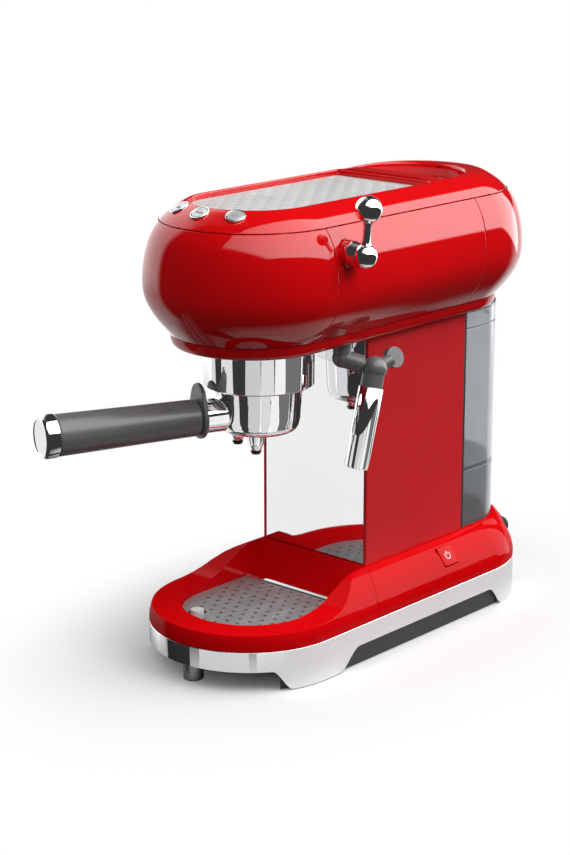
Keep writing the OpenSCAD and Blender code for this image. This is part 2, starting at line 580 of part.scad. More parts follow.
// ---- inside ----
module thermoblock() color([0.6, 0.6, 0.62]) difference() {
    union() {
        block(-33, 33, -118, -48, 241, 278);
        for (k = [-3:3]) block(-31, 31, group_y + 3 + 9 * k - 1.5, group_y + 3 + 9 * k + 1.5, 277, 284);
    }
    translate([0, group_y, 235]) cylinder(h = 20, r = 3, $fn = 24);
}
module pump() color([0.5, 0.5, 0.52]) union() {
    block(-20, 20, 12, 52, 96, 146);
    translate([0, 32, 78]) cylinder(h = 19, r = 13, $fn = 48);
    translate([0, 32, 146]) cylinder(h = 30, r = 14, $fn = 48);
    translate([0, 32, 175]) cylinder(h = 14, r = 5, $fn = 32);
}
module solenoid_valve() color([0.3, 0.3, 0.34]) union() {
    block(-13, 13, -38, -14, 227.7, 244);
    translate([0, -26, 243]) cylinder(h = 24, r = 11, $fn = 48);
}
module control_board() color([0.1, 0.3, 0.16]) union() {
    block(-34, 34, -2, 54, 284.1, 285.7);
    block(-28, -8, 6, 22, 285.6, 298);
    block(2, 22, 4, 30, 285.6, 294);
    block(-24, 20, 36, 48, 285.6, 292);
}
module inner_frame() color([0.55, 0.56, 0.58]) difference() {
    union() {
        block(-38, 38, 60, 61.6, 17.5, 283);
        block(-38, 38, -4, 61.6, 282.4, 284);
        block(-38, 38, 50, 61.6, 17.5, 19.1);
        // shelf that carries the pump
        block(-30, 30, 12, 61.6, 94.3, 95.9);
        // stay of the brewing group
        block(-34, 34, -46, 61.6, 226, 227.6);
        block(-34, 34, -47.6, -46, 226, 262);
    }
    translate([0, 32, 80]) cylinder(h = 20, r = 13.6, $fn = 48);
    block(-22, 22, -6, 56, 220, 230);
    block(-6, 6, 50, 70, 62, 80);
}
module water_hoses() color([0.88, 0.88, 0.86]) union() {
    hose([[0, 75.2, 72], [0, 66, 72], [0, 54, 70], [0, 36, 70], [0, 32, 74], [0, 32, 77.9]], 3);
    hose([[0, 32, 189.1], [0, 32, 226], [0, 22, 236], [0, -13.9, 236]], 3);
    hose([[0, -26, 267.1], [0, -26, 280], [0, -40, 290], [0, -58, 290], [0, -65, 288.5], [0, -65, 284.1]], 2.6);
    hose([[45, lever_y + 6, lever_z - 24.1], [45, lever_y + 6, 250], [45, -52, 240], [45, -52, 230.6]], 3);
}
module cord_gland() color(dark) translate([30, base_y + 63.4, 40]) rotate([90, 0, 0]) difference() {
    union() {
        cylinder(h = 12, r = 6, $fn = 48);
        translate([0, 0, 10.8]) cylinder(h = 1.2, r = 7, $fn = 48);
    }
    translate([0, 0, -2]) cylinder(h = 20, r = 3.6, $fn = 48);
}
module case_screws() color(steel) for (x = [-40, 40], y = [-10, 110]) translate([x, y, 0]) union() {
    translate([0, 0, 12.8]) cylinder(h = 1.95, r = 3.4, $fn = 32);
    translate([0, 0, 13]) cylinder(h = 16, r = 1.65, $fn = 32);
}

chrome_plinth();
bottom_pan();
rubber_feet();
front_foot();
deck_housing();
drip_tray();
drip_grille();
tray_float();
column_housing();
mirror_panel();
column_frame();
tank_socket();
tank_body();
tank_foot();
tank_lid();
tank_valve();
fill_flap();
fill_funnel();
head_nose_shell();
side_panel_left();
side_panel_right();
head_rear_shell();
head_top_cover();
head_bottom_pan();
cup_warmer_plate();
button_bezels();
button_left();
button_middle();
button_right();
button_board();
group_collar();
group_head();
group_gasket();
shower_screen();
filter_basket();
portafilter_body();
spout_body();
spout_tips();
handle_neck();
thumb_guard();
handle_grip();
handle_cap();
lever_socket();
steam_lever();
steam_valve();
wand_mount();
wand_arm();
wand_elbow();
wand_pipe();
frother_sleeve();
power_switch();
thermoblock();
pump();
solenoid_valve();
control_board();
water_hoses();
inner_frame();
cord_gland();
case_screws();
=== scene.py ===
import bpy, bmesh, json, math
import numpy as np
from mathutils import Vector, Matrix

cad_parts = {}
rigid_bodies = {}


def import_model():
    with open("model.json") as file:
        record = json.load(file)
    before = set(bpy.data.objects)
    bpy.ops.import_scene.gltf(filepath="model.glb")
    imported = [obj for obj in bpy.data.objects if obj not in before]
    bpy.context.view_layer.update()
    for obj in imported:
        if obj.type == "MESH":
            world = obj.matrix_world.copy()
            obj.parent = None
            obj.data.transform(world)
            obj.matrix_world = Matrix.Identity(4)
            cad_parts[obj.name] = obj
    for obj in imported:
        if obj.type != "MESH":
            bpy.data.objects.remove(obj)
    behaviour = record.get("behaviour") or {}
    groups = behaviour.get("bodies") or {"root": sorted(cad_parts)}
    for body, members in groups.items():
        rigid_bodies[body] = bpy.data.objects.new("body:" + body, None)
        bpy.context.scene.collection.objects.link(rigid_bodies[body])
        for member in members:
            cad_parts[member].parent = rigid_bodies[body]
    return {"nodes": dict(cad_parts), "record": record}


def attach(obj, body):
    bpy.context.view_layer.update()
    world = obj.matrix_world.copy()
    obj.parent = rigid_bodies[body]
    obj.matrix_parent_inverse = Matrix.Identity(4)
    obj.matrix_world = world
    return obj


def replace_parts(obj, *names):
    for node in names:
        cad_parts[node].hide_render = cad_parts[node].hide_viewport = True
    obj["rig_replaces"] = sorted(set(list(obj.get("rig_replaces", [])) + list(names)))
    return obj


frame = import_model()
NODE = frame["nodes"]
BODY = {}
for _b, _ns in frame["record"]["behaviour"]["bodies"].items():
    for _n in _ns:
        BODY[_n] = _b
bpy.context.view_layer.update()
SCN = bpy.context.scene
COL = SCN.collection
MM = 0.001

# ------------------------------------------------------------------ camera
F_PX, AZ, PI_, DIST, TGT = 2105.0, 0.7268, 0.2731, 1.450, Vector((0, -0.0589, 0.1566))
back = Vector((math.sin(AZ) * math.cos(PI_), -math.cos(AZ) * math.cos(PI_), math.sin(PI_)))
cam = bpy.data.cameras.new("camera")
cam_o = bpy.data.objects.new("camera", cam)
COL.objects.link(cam_o)
cam_o.location = TGT + back * DIST
cam_o.rotation_euler = back.to_track_quat("Z", "Y").to_euler()
cam.lens = F_PX / 855 * 36
cam.sensor_width = 36
cam.clip_start, cam.clip_end = 0.05, 50
SCN.camera = cam_o


# --------------------------------------------------------------- materials
def new_mat(name):
    m = bpy.data.materials.new(name)
    m.use_nodes = True
    nt = m.node_tree
    return m, nt, nt.nodes["Principled BSDF"]


def node(nt, kind, **kw):
    n = nt.nodes.new(kind)
    for k, v in kw.items():
        if hasattr(n, k):
            setattr(n, k, v)
        else:
            n.inputs[k].default_value = v
    return n


def noise_bump(nt, p, scale, strength, dist=0.0002, detail=3.0, stretch=None):
    tc = node(nt, "ShaderNodeTexCoord")
    src = tc.outputs["Object"]
    if stretch:
        mp = node(nt, "ShaderNodeMapping")
        mp.inputs["Scale"].default_value = stretch
        nt.links.new(src, mp.inputs["Vector"])
        src = mp.outputs["Vector"]
    nz = node(nt, "ShaderNodeTexNoise", Scale=scale, Detail=detail)
    nt.links.new(src, nz.inputs["Vector"])
    bp = node(nt, "ShaderNodeBump", Strength=strength, Distance=dist)
    nt.links.new(nz.outputs["Fac"], bp.inputs["Height"])
    nt.links.new(bp.outputs["Normal"], p.inputs["Normal"])
    return nz, src


def vary(nt, p, socket, src, scale, lo, hi, detail=2.0):
    """a slow procedural variation of a number or a colour"""
    nz = node(nt, "ShaderNodeTexNoise", Scale=scale, Detail=detail)
    nt.links.new(src, nz.inputs["Vector"])
    if isinstance(lo, (int, float)):
        mr = node(nt, "ShaderNodeMapRange")
        mr.inputs["From Min"].default_value = 0.3
        mr.inputs["From Max"].default_value = 0.7
        mr.inputs["To Min"].default_value = lo
        mr.inputs["To Max"].default_value = hi
        nt.links.new(nz.outputs["Fac"], mr.inputs["Value"])
        nt.links.new(mr.outputs["Result"], p.inputs[socket])
    else:
        cr = node(nt, "ShaderNodeValToRGB")
        cr.color_ramp.elements[0].position = 0.35
        cr.color_ramp.elements[1].position = 0.65
        cr.color_ramp.elements[0].color = (*lo, 1)
        cr.color_ramp.elements[1].color = (*hi, 1)
        nt.links.new(nz.outputs["Fac"], cr.inputs["Fac"])
        nt.links.new(cr.outputs["Color"], p.inputs[socket])


def mat_paint(name, c0, c1, rough, coat, coat_rough, peel=0.03):
    m, nt, p = new_mat(name)
    nz, src = noise_bump(nt, p, 320.0, peel, 0.00005, 2.0)
    vary(nt, p, "Base Color", src, 9.0, c0, c1)
    vary(nt, p, "Roughness", src, 24.0, rough * 0.85, rough * 1.15)
    p.inputs["Coat Weight"].default_value = coat
    p.inputs["Coat Roughness"].default_value = coat_rough
    p.inputs["Coat IOR"].default_value = 1.5
    p.inputs["Specular IOR Level"].default_value = 0.0
    return m


def mat_metal(name, c0, c1, rough, bump=0.0, scale=200.0, stretch=None):
    m, nt, p = new_mat(name)
    p.inputs["Metallic"].default_value = 1.0
    nz, src = noise_bump(nt, p, scale, bump, 0.00006, 3.0, stretch)
    vary(nt, p, "Base Color", src, 14.0, c0, c1)
    vary(nt, p, "Roughness", src, 30.0, rough * 0.8, rough * 1.2)
    return m


def mat_plastic(name, c0, c1, rough, bump=0.25, scale=1400.0, spec=0.5):
    m, nt, p = new_mat(name)
    nz, src = noise_bump(nt, p, scale, bump, 0.00006, 3.0)
    vary(nt, p, "Base Color", src, 20.0, c0, c1)
    vary(nt, p, "Roughness", src, 40.0, rough * 0.88, rough * 1.12)
    p.inputs["Specular IOR Level"].default_value = spec
    return m


def mat_clear(name, c0, c1, rough, alpha, trans):
    m, nt, p = new_mat(name)
    nz, src = noise_bump(nt, p, 60.0, 0.02, 0.0001, 2.0)
    vary(nt, p, "Base Color", src, 10.0, c0, c1)
    vary(nt, p, "Roughness", src, 20.0, rough * 0.8, rough * 1.2)
    p.inputs["Transmission Weight"].default_value = trans
    p.inputs["IOR"].default_value = 1.45
    p.inputs["Alpha"].default_value = alpha
    return m


RED = mat_paint("red_gloss_paint", (0.62, 0.0015, 0.003), (0.68, 0.002, 0.004), 0.42, 1.0, 0.02)
REDP = mat_paint("red_satin_panel", (0.62, 0.022, 0.028), (0.66, 0.026, 0.032), 0.5, 0.35, 0.30, 0.06)
REDB = mat_paint("red_gloss_base", (0.62, 0.0015, 0.003), (0.68, 0.002, 0.004), 0.42, 0.14, 0.03)
REDS = mat_plastic("red_plastic", (0.62, 0.002, 0.004), (0.68, 0.003, 0.005), 0.25, 0.05, 900.0, 0.10)
CHROME = mat_metal("chrome", (0.86, 0.865, 0.88), (0.90, 0.905, 0.915), 0.035, 0.02, 60.0)
MIRROR = mat_metal("mirror_steel", (0.86, 0.865, 0.87), (0.89, 0.89, 0.895), 0.03, 0.015, 30.0)
STEEL = mat_metal("brushed_steel", (0.40, 0.41, 0.42), (0.47, 0.48, 0.49), 0.40, 0.06, 260.0, (6, 1, 6))
STEEL.node_tree.nodes["Principled BSDF"].inputs["Metallic"].default_value = 0.55
STEELP = mat_metal("pressed_steel", (0.70, 0.71, 0.72), (0.78, 0.79, 0.79), 0.20, 0.10, 220.0)
GREY = mat_plastic("grey_plastic", (0.145, 0.145, 0.148), (0.165, 0.165, 0.168), 0.28, 0.15)
DARK = mat_plastic("dark_plastic", (0.022, 0.022, 0.024), (0.030, 0.030, 0.032), 0.45, 0.3)
RUBBER = mat_plastic("rubber", (0.018, 0.018, 0.018), (0.028, 0.028, 0.028), 0.75, 0.5, 900.0, 0.3)
FOOTM = mat_metal("foot_metal_paint", (0.33, 0.33, 0.34), (0.38, 0.38, 0.39), 0.35, 0.2, 800.0)
SMOKE = mat_clear("smoked_plastic", (0.66, 0.68, 0.70), (0.70, 0.72, 0.74), 0.10, 1.0, 0.86)
SMOKE2 = mat_clear("smoked_plastic_foot", (0.42, 0.44, 0.46), (0.46, 0.48, 0.50), 0.14, 1.0, 0.80)
FROST = mat_clear("frosted_plastic", (0.84, 0.85, 0.85), (0.88, 0.89, 0.89), 0.30, 1.0, 0.15)
WHITE = mat_plastic("white_plastic", (0.68, 0.68, 0.67), (0.74, 0.74, 0.73), 0.35, 0.15)
BUTTON = mat_metal("button_metal", (0.52, 0.54, 0.54), (0.58, 0.60, 0.60), 0.30, 0.1, 300.0)
BUTTON.node_tree.nodes["Principled BSDF"].inputs["Metallic"].default_value = 0.35
WARM = mat_metal("warmer_steel", (0.57, 0.57, 0.56), (0.64, 0.64, 0.63), 0.36, 0.08, 220.0)
WARM.node_tree.nodes["Principled BSDF"].inputs["Metallic"].default_value = 0.12
ICON = mat_plastic("icon_print", (0.26, 0.29, 0.31), (0.30, 0.33, 0.35), 0.5, 0.1)
ICONW = mat_plastic("icon_print_white", (0.80, 0.80, 0.80), (0.86, 0.86, 0.86), 0.5, 0.1)
ALU = mat_metal("cast_aluminium", (0.46, 0.46, 0.48), (0.56, 0.56, 0.58), 0.45, 0.5, 500.0)
BRASS = mat_metal("brass", (0.62, 0.44, 0.19), (0.72, 0.53, 0.25), 0.25, 0.2, 300.0)
BOARD = mat_plastic("circuit_board", (0.012, 0.10, 0.035), (0.02, 0.14, 0.05), 0.3, 0.3, 300.0)
SILI = mat_plastic("silicone_hose", (0.62, 0.62, 0.58), (0.70, 0.70, 0.66), 0.4, 0.15)
ZINC = mat_metal("zinc_sheet", (0.48, 0.49, 0.50), (0.62, 0.63, 0.64), 0.35, 0.2, 120.0)

CAD_MAT = {
    "rubber_feet": RUBBER, "tank_socket": RUBBER, "group_gasket": RUBBER, "cord_gland": RUBBER,
    "column_frame": DARK, "tank_valve": DARK, "bottom_pan": DARK, "spout_tips": DARK,
    "group_head": ALU, "thermoblock": ALU, "pump": ALU, "solenoid_valve": ALU,
    "steam_valve": BRASS, "button_board": BOARD, "control_board": BOARD, "water_hoses": SILI,
    "inner_frame": ZINC, "case_screws": STEELP, "shower_screen": STEELP, "filter_basket": STEELP,
    "fill_funnel": WHITE, "tray_float": WHITE,
}


# ------------------------------------------------------------ mesh helpers
def put(name, verts, faces, mat, body, *nodes, slot=None, sharp=35.0, smooth=True):
    me = bpy.data.meshes.new(name)
    me.from_pydata([tuple(v) for v in verts], [], faces)
    bm = bmesh.new()
    bm.from_mesh(me)
    bmesh.ops.remove_doubles(bm, verts=bm.verts, dist=2e-6)
    bmesh.ops.dissolve_degenerate(bm, edges=bm.edges, dist=1e-7)
    bmesh.ops.recalc_face_normals(bm, faces=bm.faces)
    bm.to_mesh(me)
    bm.free()
    ob = bpy.data.objects.new(name, me)
    COL.objects.link(ob)
    me.materials.append(mat)
    shade(ob, sharp, smooth)
    if body:
        finish(ob, body, *nodes, slot=slot)
    return ob


def shade(ob, sharp=35.0, smooth=True):
    me = ob.data
    me.polygons.foreach_set("use_smooth", [smooth] * len(me.polygons))
    if smooth:
        me.set_sharp_from_angle(angle=math.radians(sharp))
    me.update()


def finish(ob, body, *nodes, slot=None):
    if nodes:
        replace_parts(ob, *nodes)
        if slot is None:
            for s in frame["record"]["subparts"]:
                if s["node"] == nodes[0]:
                    slot = s["material_slot"]
    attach(ob, body)


def spline(pts, n):
    """natural cubic through the points, by chord length, n samples evenly spaced"""
    p = np.array(pts, float)
    d = np.concatenate([[0], np.cumsum(np.sqrt(np.linalg.norm(np.diff(p, axis=0), axis=1)))])
    k = len(p)
    A = np.zeros((k, k)); B = np.zeros((k, 2)); h = np.diff(d)
    A[0, 0] = A[-1, -1] = 1
    for i in range(1, k - 1):
        A[i, i - 1], A[i, i], A[i, i + 1] = h[i - 1], 2 * (h[i - 1] + h[i]), h[i]
        B[i] = 6 * ((p[i + 1] - p[i]) / h[i] - (p[i] - p[i - 1]) / h[i - 1])
    M = np.linalg.solve(A, B)
    t = np.linspace(0, d[-1], 1200)
    i = np.clip(np.searchsorted(d, t, side="right") - 1, 0, k - 2)
    a = ((d[i + 1] - t) / h[i])[:, None]; b = ((t - d[i]) / h[i])[:, None]; hh = (h[i] ** 2 / 6)[:, None]
    q = a * p[i] + b * p[i + 1] + hh * ((a ** 3 - a) * M[i] + (b ** 3 - b) * M[i + 1])
    s = np.concatenate([[0], np.cumsum(np.linalg.norm(np.diff(q, axis=0), axis=1))])
    u = np.linspace(0, s[-1], n)
    return np.stack([np.interp(u, s, q[:, 0]), np.interp(u, s, q[:, 1])], 1)


def relax(q, it):
    q = q.copy()
    for _ in range(it):
        q[1:-1] += 0.5 * ((q[:-2] + q[2:]) / 2 - q[1:-1])
    return q


def normals2(q):
    d = np.gradient(q, axis=0)
    d /= np.linalg.norm(d, axis=1)[:, None] + 1e-12
    return np.stack([d[:, 1], -d[:, 0]], 1)  # to the right of travel: outward on a rising flank


def round_ends(n_len, r):
    """sample stations for one fine quarter round of radius r; returns (s, setback); n_len is not used"""
    k = np.array([0, 0.05, 0.15, 0.3, 0.5, 0.75, 1.0]) * r
    return k, r - np.sqrt(np.maximum(r * r - (r - k) ** 2, 0))


def edge_soft(q, r, ends=(True, True)):
    """profile q (n,2) with a rounded edge of radius r at its ends, pulled in along the normal"""
    s = np.concatenate([[0], np.cumsum(np.linalg.norm(np.diff(q, axis=0), axis=1))])
    nrm = normals2(q)
    k, back_ = round_ends(s[-1], r)
    st = [s[(s > r * 1.2) & (s < s[-1] - r * 1.2)]]
    if ends[0]:
        st.insert(0, k)
    else:
        st.insert(0, [0.0])
    if ends[1]:
        st.append(s[-1] - k[::-1])
    else:
        st.append([s[-1]])
    st = np.concatenate(st)
    off = np.zeros(len(st))
    if ends[0]:
        off[: len(k)] = back_
    if ends[1]:
        off[-len(k):] = back_[::-1]
    X = np.stack([np.interp(st, s, q[:, 0]), np.interp(st, s, q[:, 1])], 1)
    N = np.stack([np.interp(st, s, nrm[:, 0]), np.interp(st, s, nrm[:, 1])], 1)
    N /= np.linalg.norm(N, axis=1)[:, None]
    return X - N * off[:, None]


def path_stadium(y_start, yf, yr, which, step=1.6, r=0.45):
    """stations (x0, y0, dx, dy, setback) so that point = (x0 + R*dx, y0 + R*dy)"""
    out = []
    k, b_ = round_ends(0, r)
    if which == "front":  # right run, front arc, left run
        ys = y_start
        run = list(ys - k) + list(np.arange(ys - r * 1.6, yf, -2.0))
        st = [(0, y, 1, 0, 0) for y in run]
        for j, bb in enumerate(b_):
            st[j] = (0, ys - k[j], 1, 0, bb)
        out = st
        n = 96
        arc = [(0, yf, math.cos(-math.pi * i / n), math.sin(-math.pi * i / n), 0) for i in range(n + 1)]
        left = [(x, y, -dx, dy, bb) for (x, y, dx, dy, bb) in reversed(st)]
        out = st + arc + left
    elif which == "rear":
        ys = y_start
        run = list(ys + k) + list(np.arange(ys + r * 1.6, yr, 2.0))
        st = [(0, y, 1, 0, 0) for y in run]
        for j, bb in enumerate(b_):
            st[j] = (0, ys + k[j], 1, 0, bb)
        n = 96
        arc = [(0, yr, math.cos(math.pi * i / n), math.sin(math.pi * i / n), 0) for i in range(n + 1)]
        left = [(x, y, -dx, dy, bb) for (x, y, dx, dy, bb) in reversed(st)]
        out = st + arc + left
    return out


def path_run(y0, y1, side, r=0.45):
    k, b_ = round_ends(0, r)
    ys = list(y0 + k) + list(np.arange(y0 + r * 2, y1 - r * 2, 3.0)) + list(y1 - k[::-1])
    bb = list(b_) + [0] * (len(ys) - 2 * len(k)) + list(b_[::-1])
    return [(0, y, side, 0, b) for y, b in zip(ys, bb)]


def path_loop(yf, yr, n=96, step=3.0):
    """closed stadium"""
    st = []
    m = max(2, int((yr - yf) / step))
    for i in range(n + 1):
        a = -math.pi * i / n
        st.append((0, yf, math.cos(a), math.sin(a), 0))
    for i in range(1, m):
        st.append((0, yf + (yr - yf) * i / m, -1, 0, 0))
    for i in range(n + 1):
        a = math.pi - math.pi * i / n
        st.append((0, yr, math.cos(a), math.sin(a), 0))
    for i in range(1, m):
        st.append((0, yr - (yr - yf) * i / m, 1, 0, 0))
    return st


def grid(path, prof, setb=True):
    """points for a swept profile; the profile's normal setback applies at the path's ends"""
    n = normals2(prof)
    rows = []
    for (x0, y0, dx, dy, b) in path:
        q = prof - n * b if setb else prof
        rows.append([(x0 + R * dx, y0 + R * dy, z) for R, z in q])
    return rows


def shell(name, path, outer, inner, mat, body, *nodes, closed=False, sharp=40.0):
    A = grid(path, outer); Bq = grid(path, inner, False)
    na, nb, m = len(outer), len(inner), len(path)
    V = [tuple(c * MM for c in p) for row in A for p in row] + [tuple(c * MM for c in p) for row in Bq for p in row]
    ob_ = m * na
    Fc = []
    seg = m if closed else m - 1
    for i in range(seg):
        j = (i + 1) % m
        for k in range(na - 1):
            Fc.append((i * na + k, j * na + k, j * na + k + 1, i * na + k + 1))
        for k in range(nb - 1):
            Fc.append((ob_ + i * nb + k, ob_ + i * nb + k + 1, ob_ + j * nb + k + 1, ob_ + j * nb + k))
        Fc.append((i * na, ob_ + i * nb, ob_ + j * nb, j * na))
        Fc.append((i * na + na - 1, j * na + na - 1, ob_ + j * nb + nb - 1, ob_ + i * nb + nb - 1))
    if not closed:
        for i, flip in ((0, False), (m - 1, True)):
            ring = [i * na + k for k in range(na)] + [ob_ + i * nb + k for k in range(nb - 1, -1, -1)]
            Fc.append(tuple(ring if flip else ring[::-1]))
    return put(name, V, Fc, mat, body, *nodes, sharp=sharp)


def lathe(name, prof, mat, body, *nodes, origin=(0, 0, 0), n=96, frame_m=None, sharp=40.0, **kw):
    """closed profile (r, z) turned about Z; an r of 0 is allowed"""
    V, Fc = [], []
    m = len(prof)
    M = frame_m or Matrix.Identity(4)
    for i in range(n):
        a = 2 * math.pi * i / n
        for r, z in prof:
            p = M @ Vector((r * math.cos(a), r * math.sin(a), z))
            V.append(((p.x + origin[0]) * MM, (p.y + origin[1]) * MM, (p.z + origin[2]) * MM))
    for i in range(n):
        j = (i + 1) % n
        for k in range(m):
            l = (k + 1) % m
            if prof[k][0] == 0 and prof[l][0] == 0:
                continue
            Fc.append((i * m + k, j * m + k, j * m + l, i * m + l))
    return put(name, V, Fc, mat, body, *nodes, sharp=sharp, **kw)


def fillet(prof, r, n=4, closed=True):
    """rounds every corner of a 2D polygon by up to r (a list gives one radius a corner)"""
    P = [Vector(p) for p in prof]
    k = len(P)
    out = []
    for i in range(k):
        ri = r[i] if isinstance(r, (list, tuple)) else r
        a, b, c = P[i - 1], P[i], P[(i + 1) % k]
        if (not closed and i in (0, k - 1)) or ri <= 0:
            out.append(tuple(b)); continue
        u, v = (a - b), (c - b)
        lu, lv = u.length, v.length
        if lu < 1e-9 or lv < 1e-9:
            continue
        u /= lu; v /= lv
        cs = max(-1, min(1, u.dot(v)))
        ang = math.acos(cs)
        if ang > math.radians(172) or ang < math.radians(4):
            out.append(tuple(b)); continue
        t = min(ri / math.tan(ang / 2), lu * 0.45, lv * 0.45)
        rr = t * math.tan(ang / 2)
        p0, p1 = b + u * t, b + v * t
        cen = b + (u + v).normalized() * (rr / math.sin(ang / 2))
        a0 = math.atan2(p0.y - cen.y, p0.x - cen.x); a1 = math.atan2(p1.y - cen.y, p1.x - cen.x)
        da = (a1 - a0 + math.pi) % (2 * math.pi) - math.pi
        for q in range(n + 1):
            w = a0 + da * q / n
            out.append((cen.x + rr * math.cos(w), cen.y + rr * math.sin(w)))
    return out


def extrude2(name, loops, z0, z1, mat, body=None, *nodes, M=None, bev=0.0, seg=2, sharp=35.0, fill=True):
    """flat shape from closed 2D loops (the first is the outline, the rest are holes), z0 to z1, edges bevelled"""
    bm = bmesh.new()
    edges = []
    for lp in loops:
        vs = [bm.verts.new((x * MM, y * MM, z0 * MM)) for x, y in lp]
        edges += [bm.edges.new((vs[i], vs[(i + 1) % len(vs)])) for i in range(len(vs))]
    bmesh.ops.triangle_fill(bm, edges=edges, use_beauty=True, use_dissolve=False)
    bmesh.ops.dissolve_limit(bm, angle_limit=0.01, verts=bm.verts, edges=bm.edges)
    r = bmesh.ops.extrude_face_region(bm, geom=list(bm.faces))
    bmesh.ops.translate(bm, verts=[e for e in r["geom"] if isinstance(e, bmesh.types.BMVert)], vec=(0, 0, (z1 - z0) * MM))
    bmesh.ops.recalc_face_normals(bm, faces=bm.faces)
    if bev > 0:
        es = [e for e in bm.edges if len(e.link_faces) == 2 and e.calc_face_angle(0) > math.radians(50)
              and abs((e.verts[0].co - e.verts[1].co).z) < 1e-7]
        bmesh.ops.bevel(bm, geom=es, offset=bev * MM, segments=seg, profile=0.5, affect="EDGES", clamp_overlap=True)
    if M is not None:
        bm.transform(M)
    me = bpy.data.meshes.new(name)
    bm.to_mesh(me); bm.free()
    ob = bpy.data.objects.new(name, me)
    COL.objects.link(ob)
    me.materials.append(mat)
    shade(ob, sharp)
    if body:
        finish(ob, body, *nodes)
    return ob


def from_cad(nodename, mat, bev=0.35, seg=2, name=None, ang=30.0):
    """a detailed copy of a CAD node: its flats joined up, its edges rounded, its normals weighted"""
    src = NODE[nodename]
    me = src.data.copy()
    ob = bpy.data.objects.new(name or (nodename + "_v"), me)
    COL.objects.link(ob)
    bm = bmesh.new(); bm.from_mesh(me)
    bmesh.ops.remove_doubles(bm, verts=bm.verts, dist=2e-6)
    bmesh.ops.dissolve_degenerate(bm, edges=bm.edges, dist=1e-7)
    bmesh.ops.dissolve_limit(bm, angle_limit=math.radians(0.6), verts=bm.verts, edges=bm.edges)
    bm.to_mesh(me); bm.free()
    me.materials.clear(); me.materials.append(mat)
    for at in [a.name for a in me.attributes if a.name.startswith("custom_normal")]:
        me.attributes.remove(me.attributes[at])
    if bev > 0:
        md = ob.modifiers.new("b", "BEVEL")
        md.width = bev * MM; md.segments = seg; md.limit_method = "ANGLE"
        md.angle_limit = math.radians(ang); md.use_clamp_overlap = True; md.harden_normals = False
        apply_mods(ob)
    shade(ob, 38.0)
    w = ob.modifiers.new("w", "WEIGHTED_NORMAL"); w.keep_sharp = True
    apply_mods(ob)
    finish(ob, BODY[nodename], nodename)
    return ob


def apply_mods(ob):
    dg = bpy.context.evaluated_depsgraph_get()
    dg.update()
    me = bpy.data.meshes.new_from_object(ob.evaluated_get(dg), preserve_all_data_layers=True, depsgraph=dg)
    old = ob.data
    ob.modifiers.clear()
    ob.data = me
    if old.users == 0:
        bpy.data.meshes.remove(old)


def cut(ob, cutters, solver="EXACT"):
    for c in cutters:
        md = ob.modifiers.new("c", "BOOLEAN")
        md.operation = "DIFFERENCE"; md.object = c; md.solver = solver
    apply_mods(ob)
    for c in cutters:
        bpy.data.objects.remove(c)


def tool(name, loops_z, n_close=True):
    """a cutter or solid from stacked closed outlines: [(outline, z), ...] with equal point counts"""
    V, Fc = [], []
    m = len(loops_z[0][0])
    for lp, z in loops_z:
        for x, y in lp:
            V.append((x * MM, y * MM, z * MM))
    for i in range(len(loops_z) - 1):
        for k in range(m):
            l = (k + 1) % m
            Fc.append((i * m + k, i * m + l, (i + 1) * m + l, (i + 1) * m + k))
    Fc.append(tuple(range(m))[::-1])
    Fc.append(tuple(range((len(loops_z) - 1) * m, len(loops_z) * m)))
    return put(name, V, Fc, RED, None)


def rod_m(a, b):
    """matrix taking +Z to the direction a->b, with its origin at a (mm)"""
    a, b = Vector(a), Vector(b)
    q = (b - a).to_track_quat("Z", "Y")
    return Matrix.Translation(a) @ q.to_matrix().to_4x4()


# ------------------------------------------------------------------- head
YF, YR, SF, SR = -91.0, 87.5, -89.6, 69.0
HEAD = [[56.6, 231.4], [60, 235.2], [64.2, 240], [69.6, 248], [73.2, 256], [74.5, 264.5],
        [74.3, 272], [73.4, 280], [71.8, 288], [69.2, 296], [65.4, 303], [62.2, 306.8]]
hp = relax(spline(HEAD, 90), 40)
ho = edge_soft(hp, 0.45)
hi = (hp - normals2(hp) * 2.5)[::3]
shell("nose_shell", path_stadium(SF - 0.2, YF, YR, "front"), ho, hi, RED, "root", "head_nose_shell")
shell("rear_shell", path_stadium(SR + 0.2, YF, YR, "rear"), ho, hi, RED, "root", "head_rear_shell")
shell("side_left", path_run(SF + 0.2, SR - 0.2, -1), ho, hi, RED, "root", "side_panel_left")
sr_ = shell("side_right", path_run(SF + 0.2, SR - 0.2, 1), ho, hi, RED, None)
LY, LZ = -77.5, 290.0
cyl = [(9.3 * math.cos(t), 9.3 * math.sin(t)) for t in np.linspace(0, 2 * math.pi, 65)[:-1]]
c_ = extrude2("lever_hole", [cyl], -20, 20, RED, M=Matrix.Translation((0.07, LY * MM, LZ * MM)) @ Matrix.Rotation(math.pi / 2, 4, "Y"))
cut(sr_, [c_])
shade(sr_, 40)
finish(sr_, "root", "side_panel_right")

# bottom pan of the head
pan = [(0.02, 222.4)] + list(map(tuple, relax(spline([[51.0, 222.4], [53.4, 223.0], [55.0, 225.0], [55.9, 228.0], [56.2, 231.0]], 20), 3)))
pan_i = [(0.02, 224.9), (51.2, 224.9), (52.6, 226.6), (53.5, 228.8), (53.7, 231)]
pn = shell("head_pan", path_loop(YF, YR), np.array(pan), np.array(pan_i), RED, None, closed=True)


def circle2(cx, cy, r, n=64):
    return [(cx + r * math.cos(2 * math.pi * i / n), cy + r * math.sin(2 * math.pi * i / n)) for i in range(n)]


def dee2(r, y0, yc, rc=3.0, n=48):
    c = [(r, y0)] + [(r * math.cos(math.pi * i / n), yc + r * math.sin(math.pi * i / n)) for i in range(n + 1)] + [(-r, y0)]
    return fillet(c, [rc] + [0] * (n + 1) + [rc], 6)


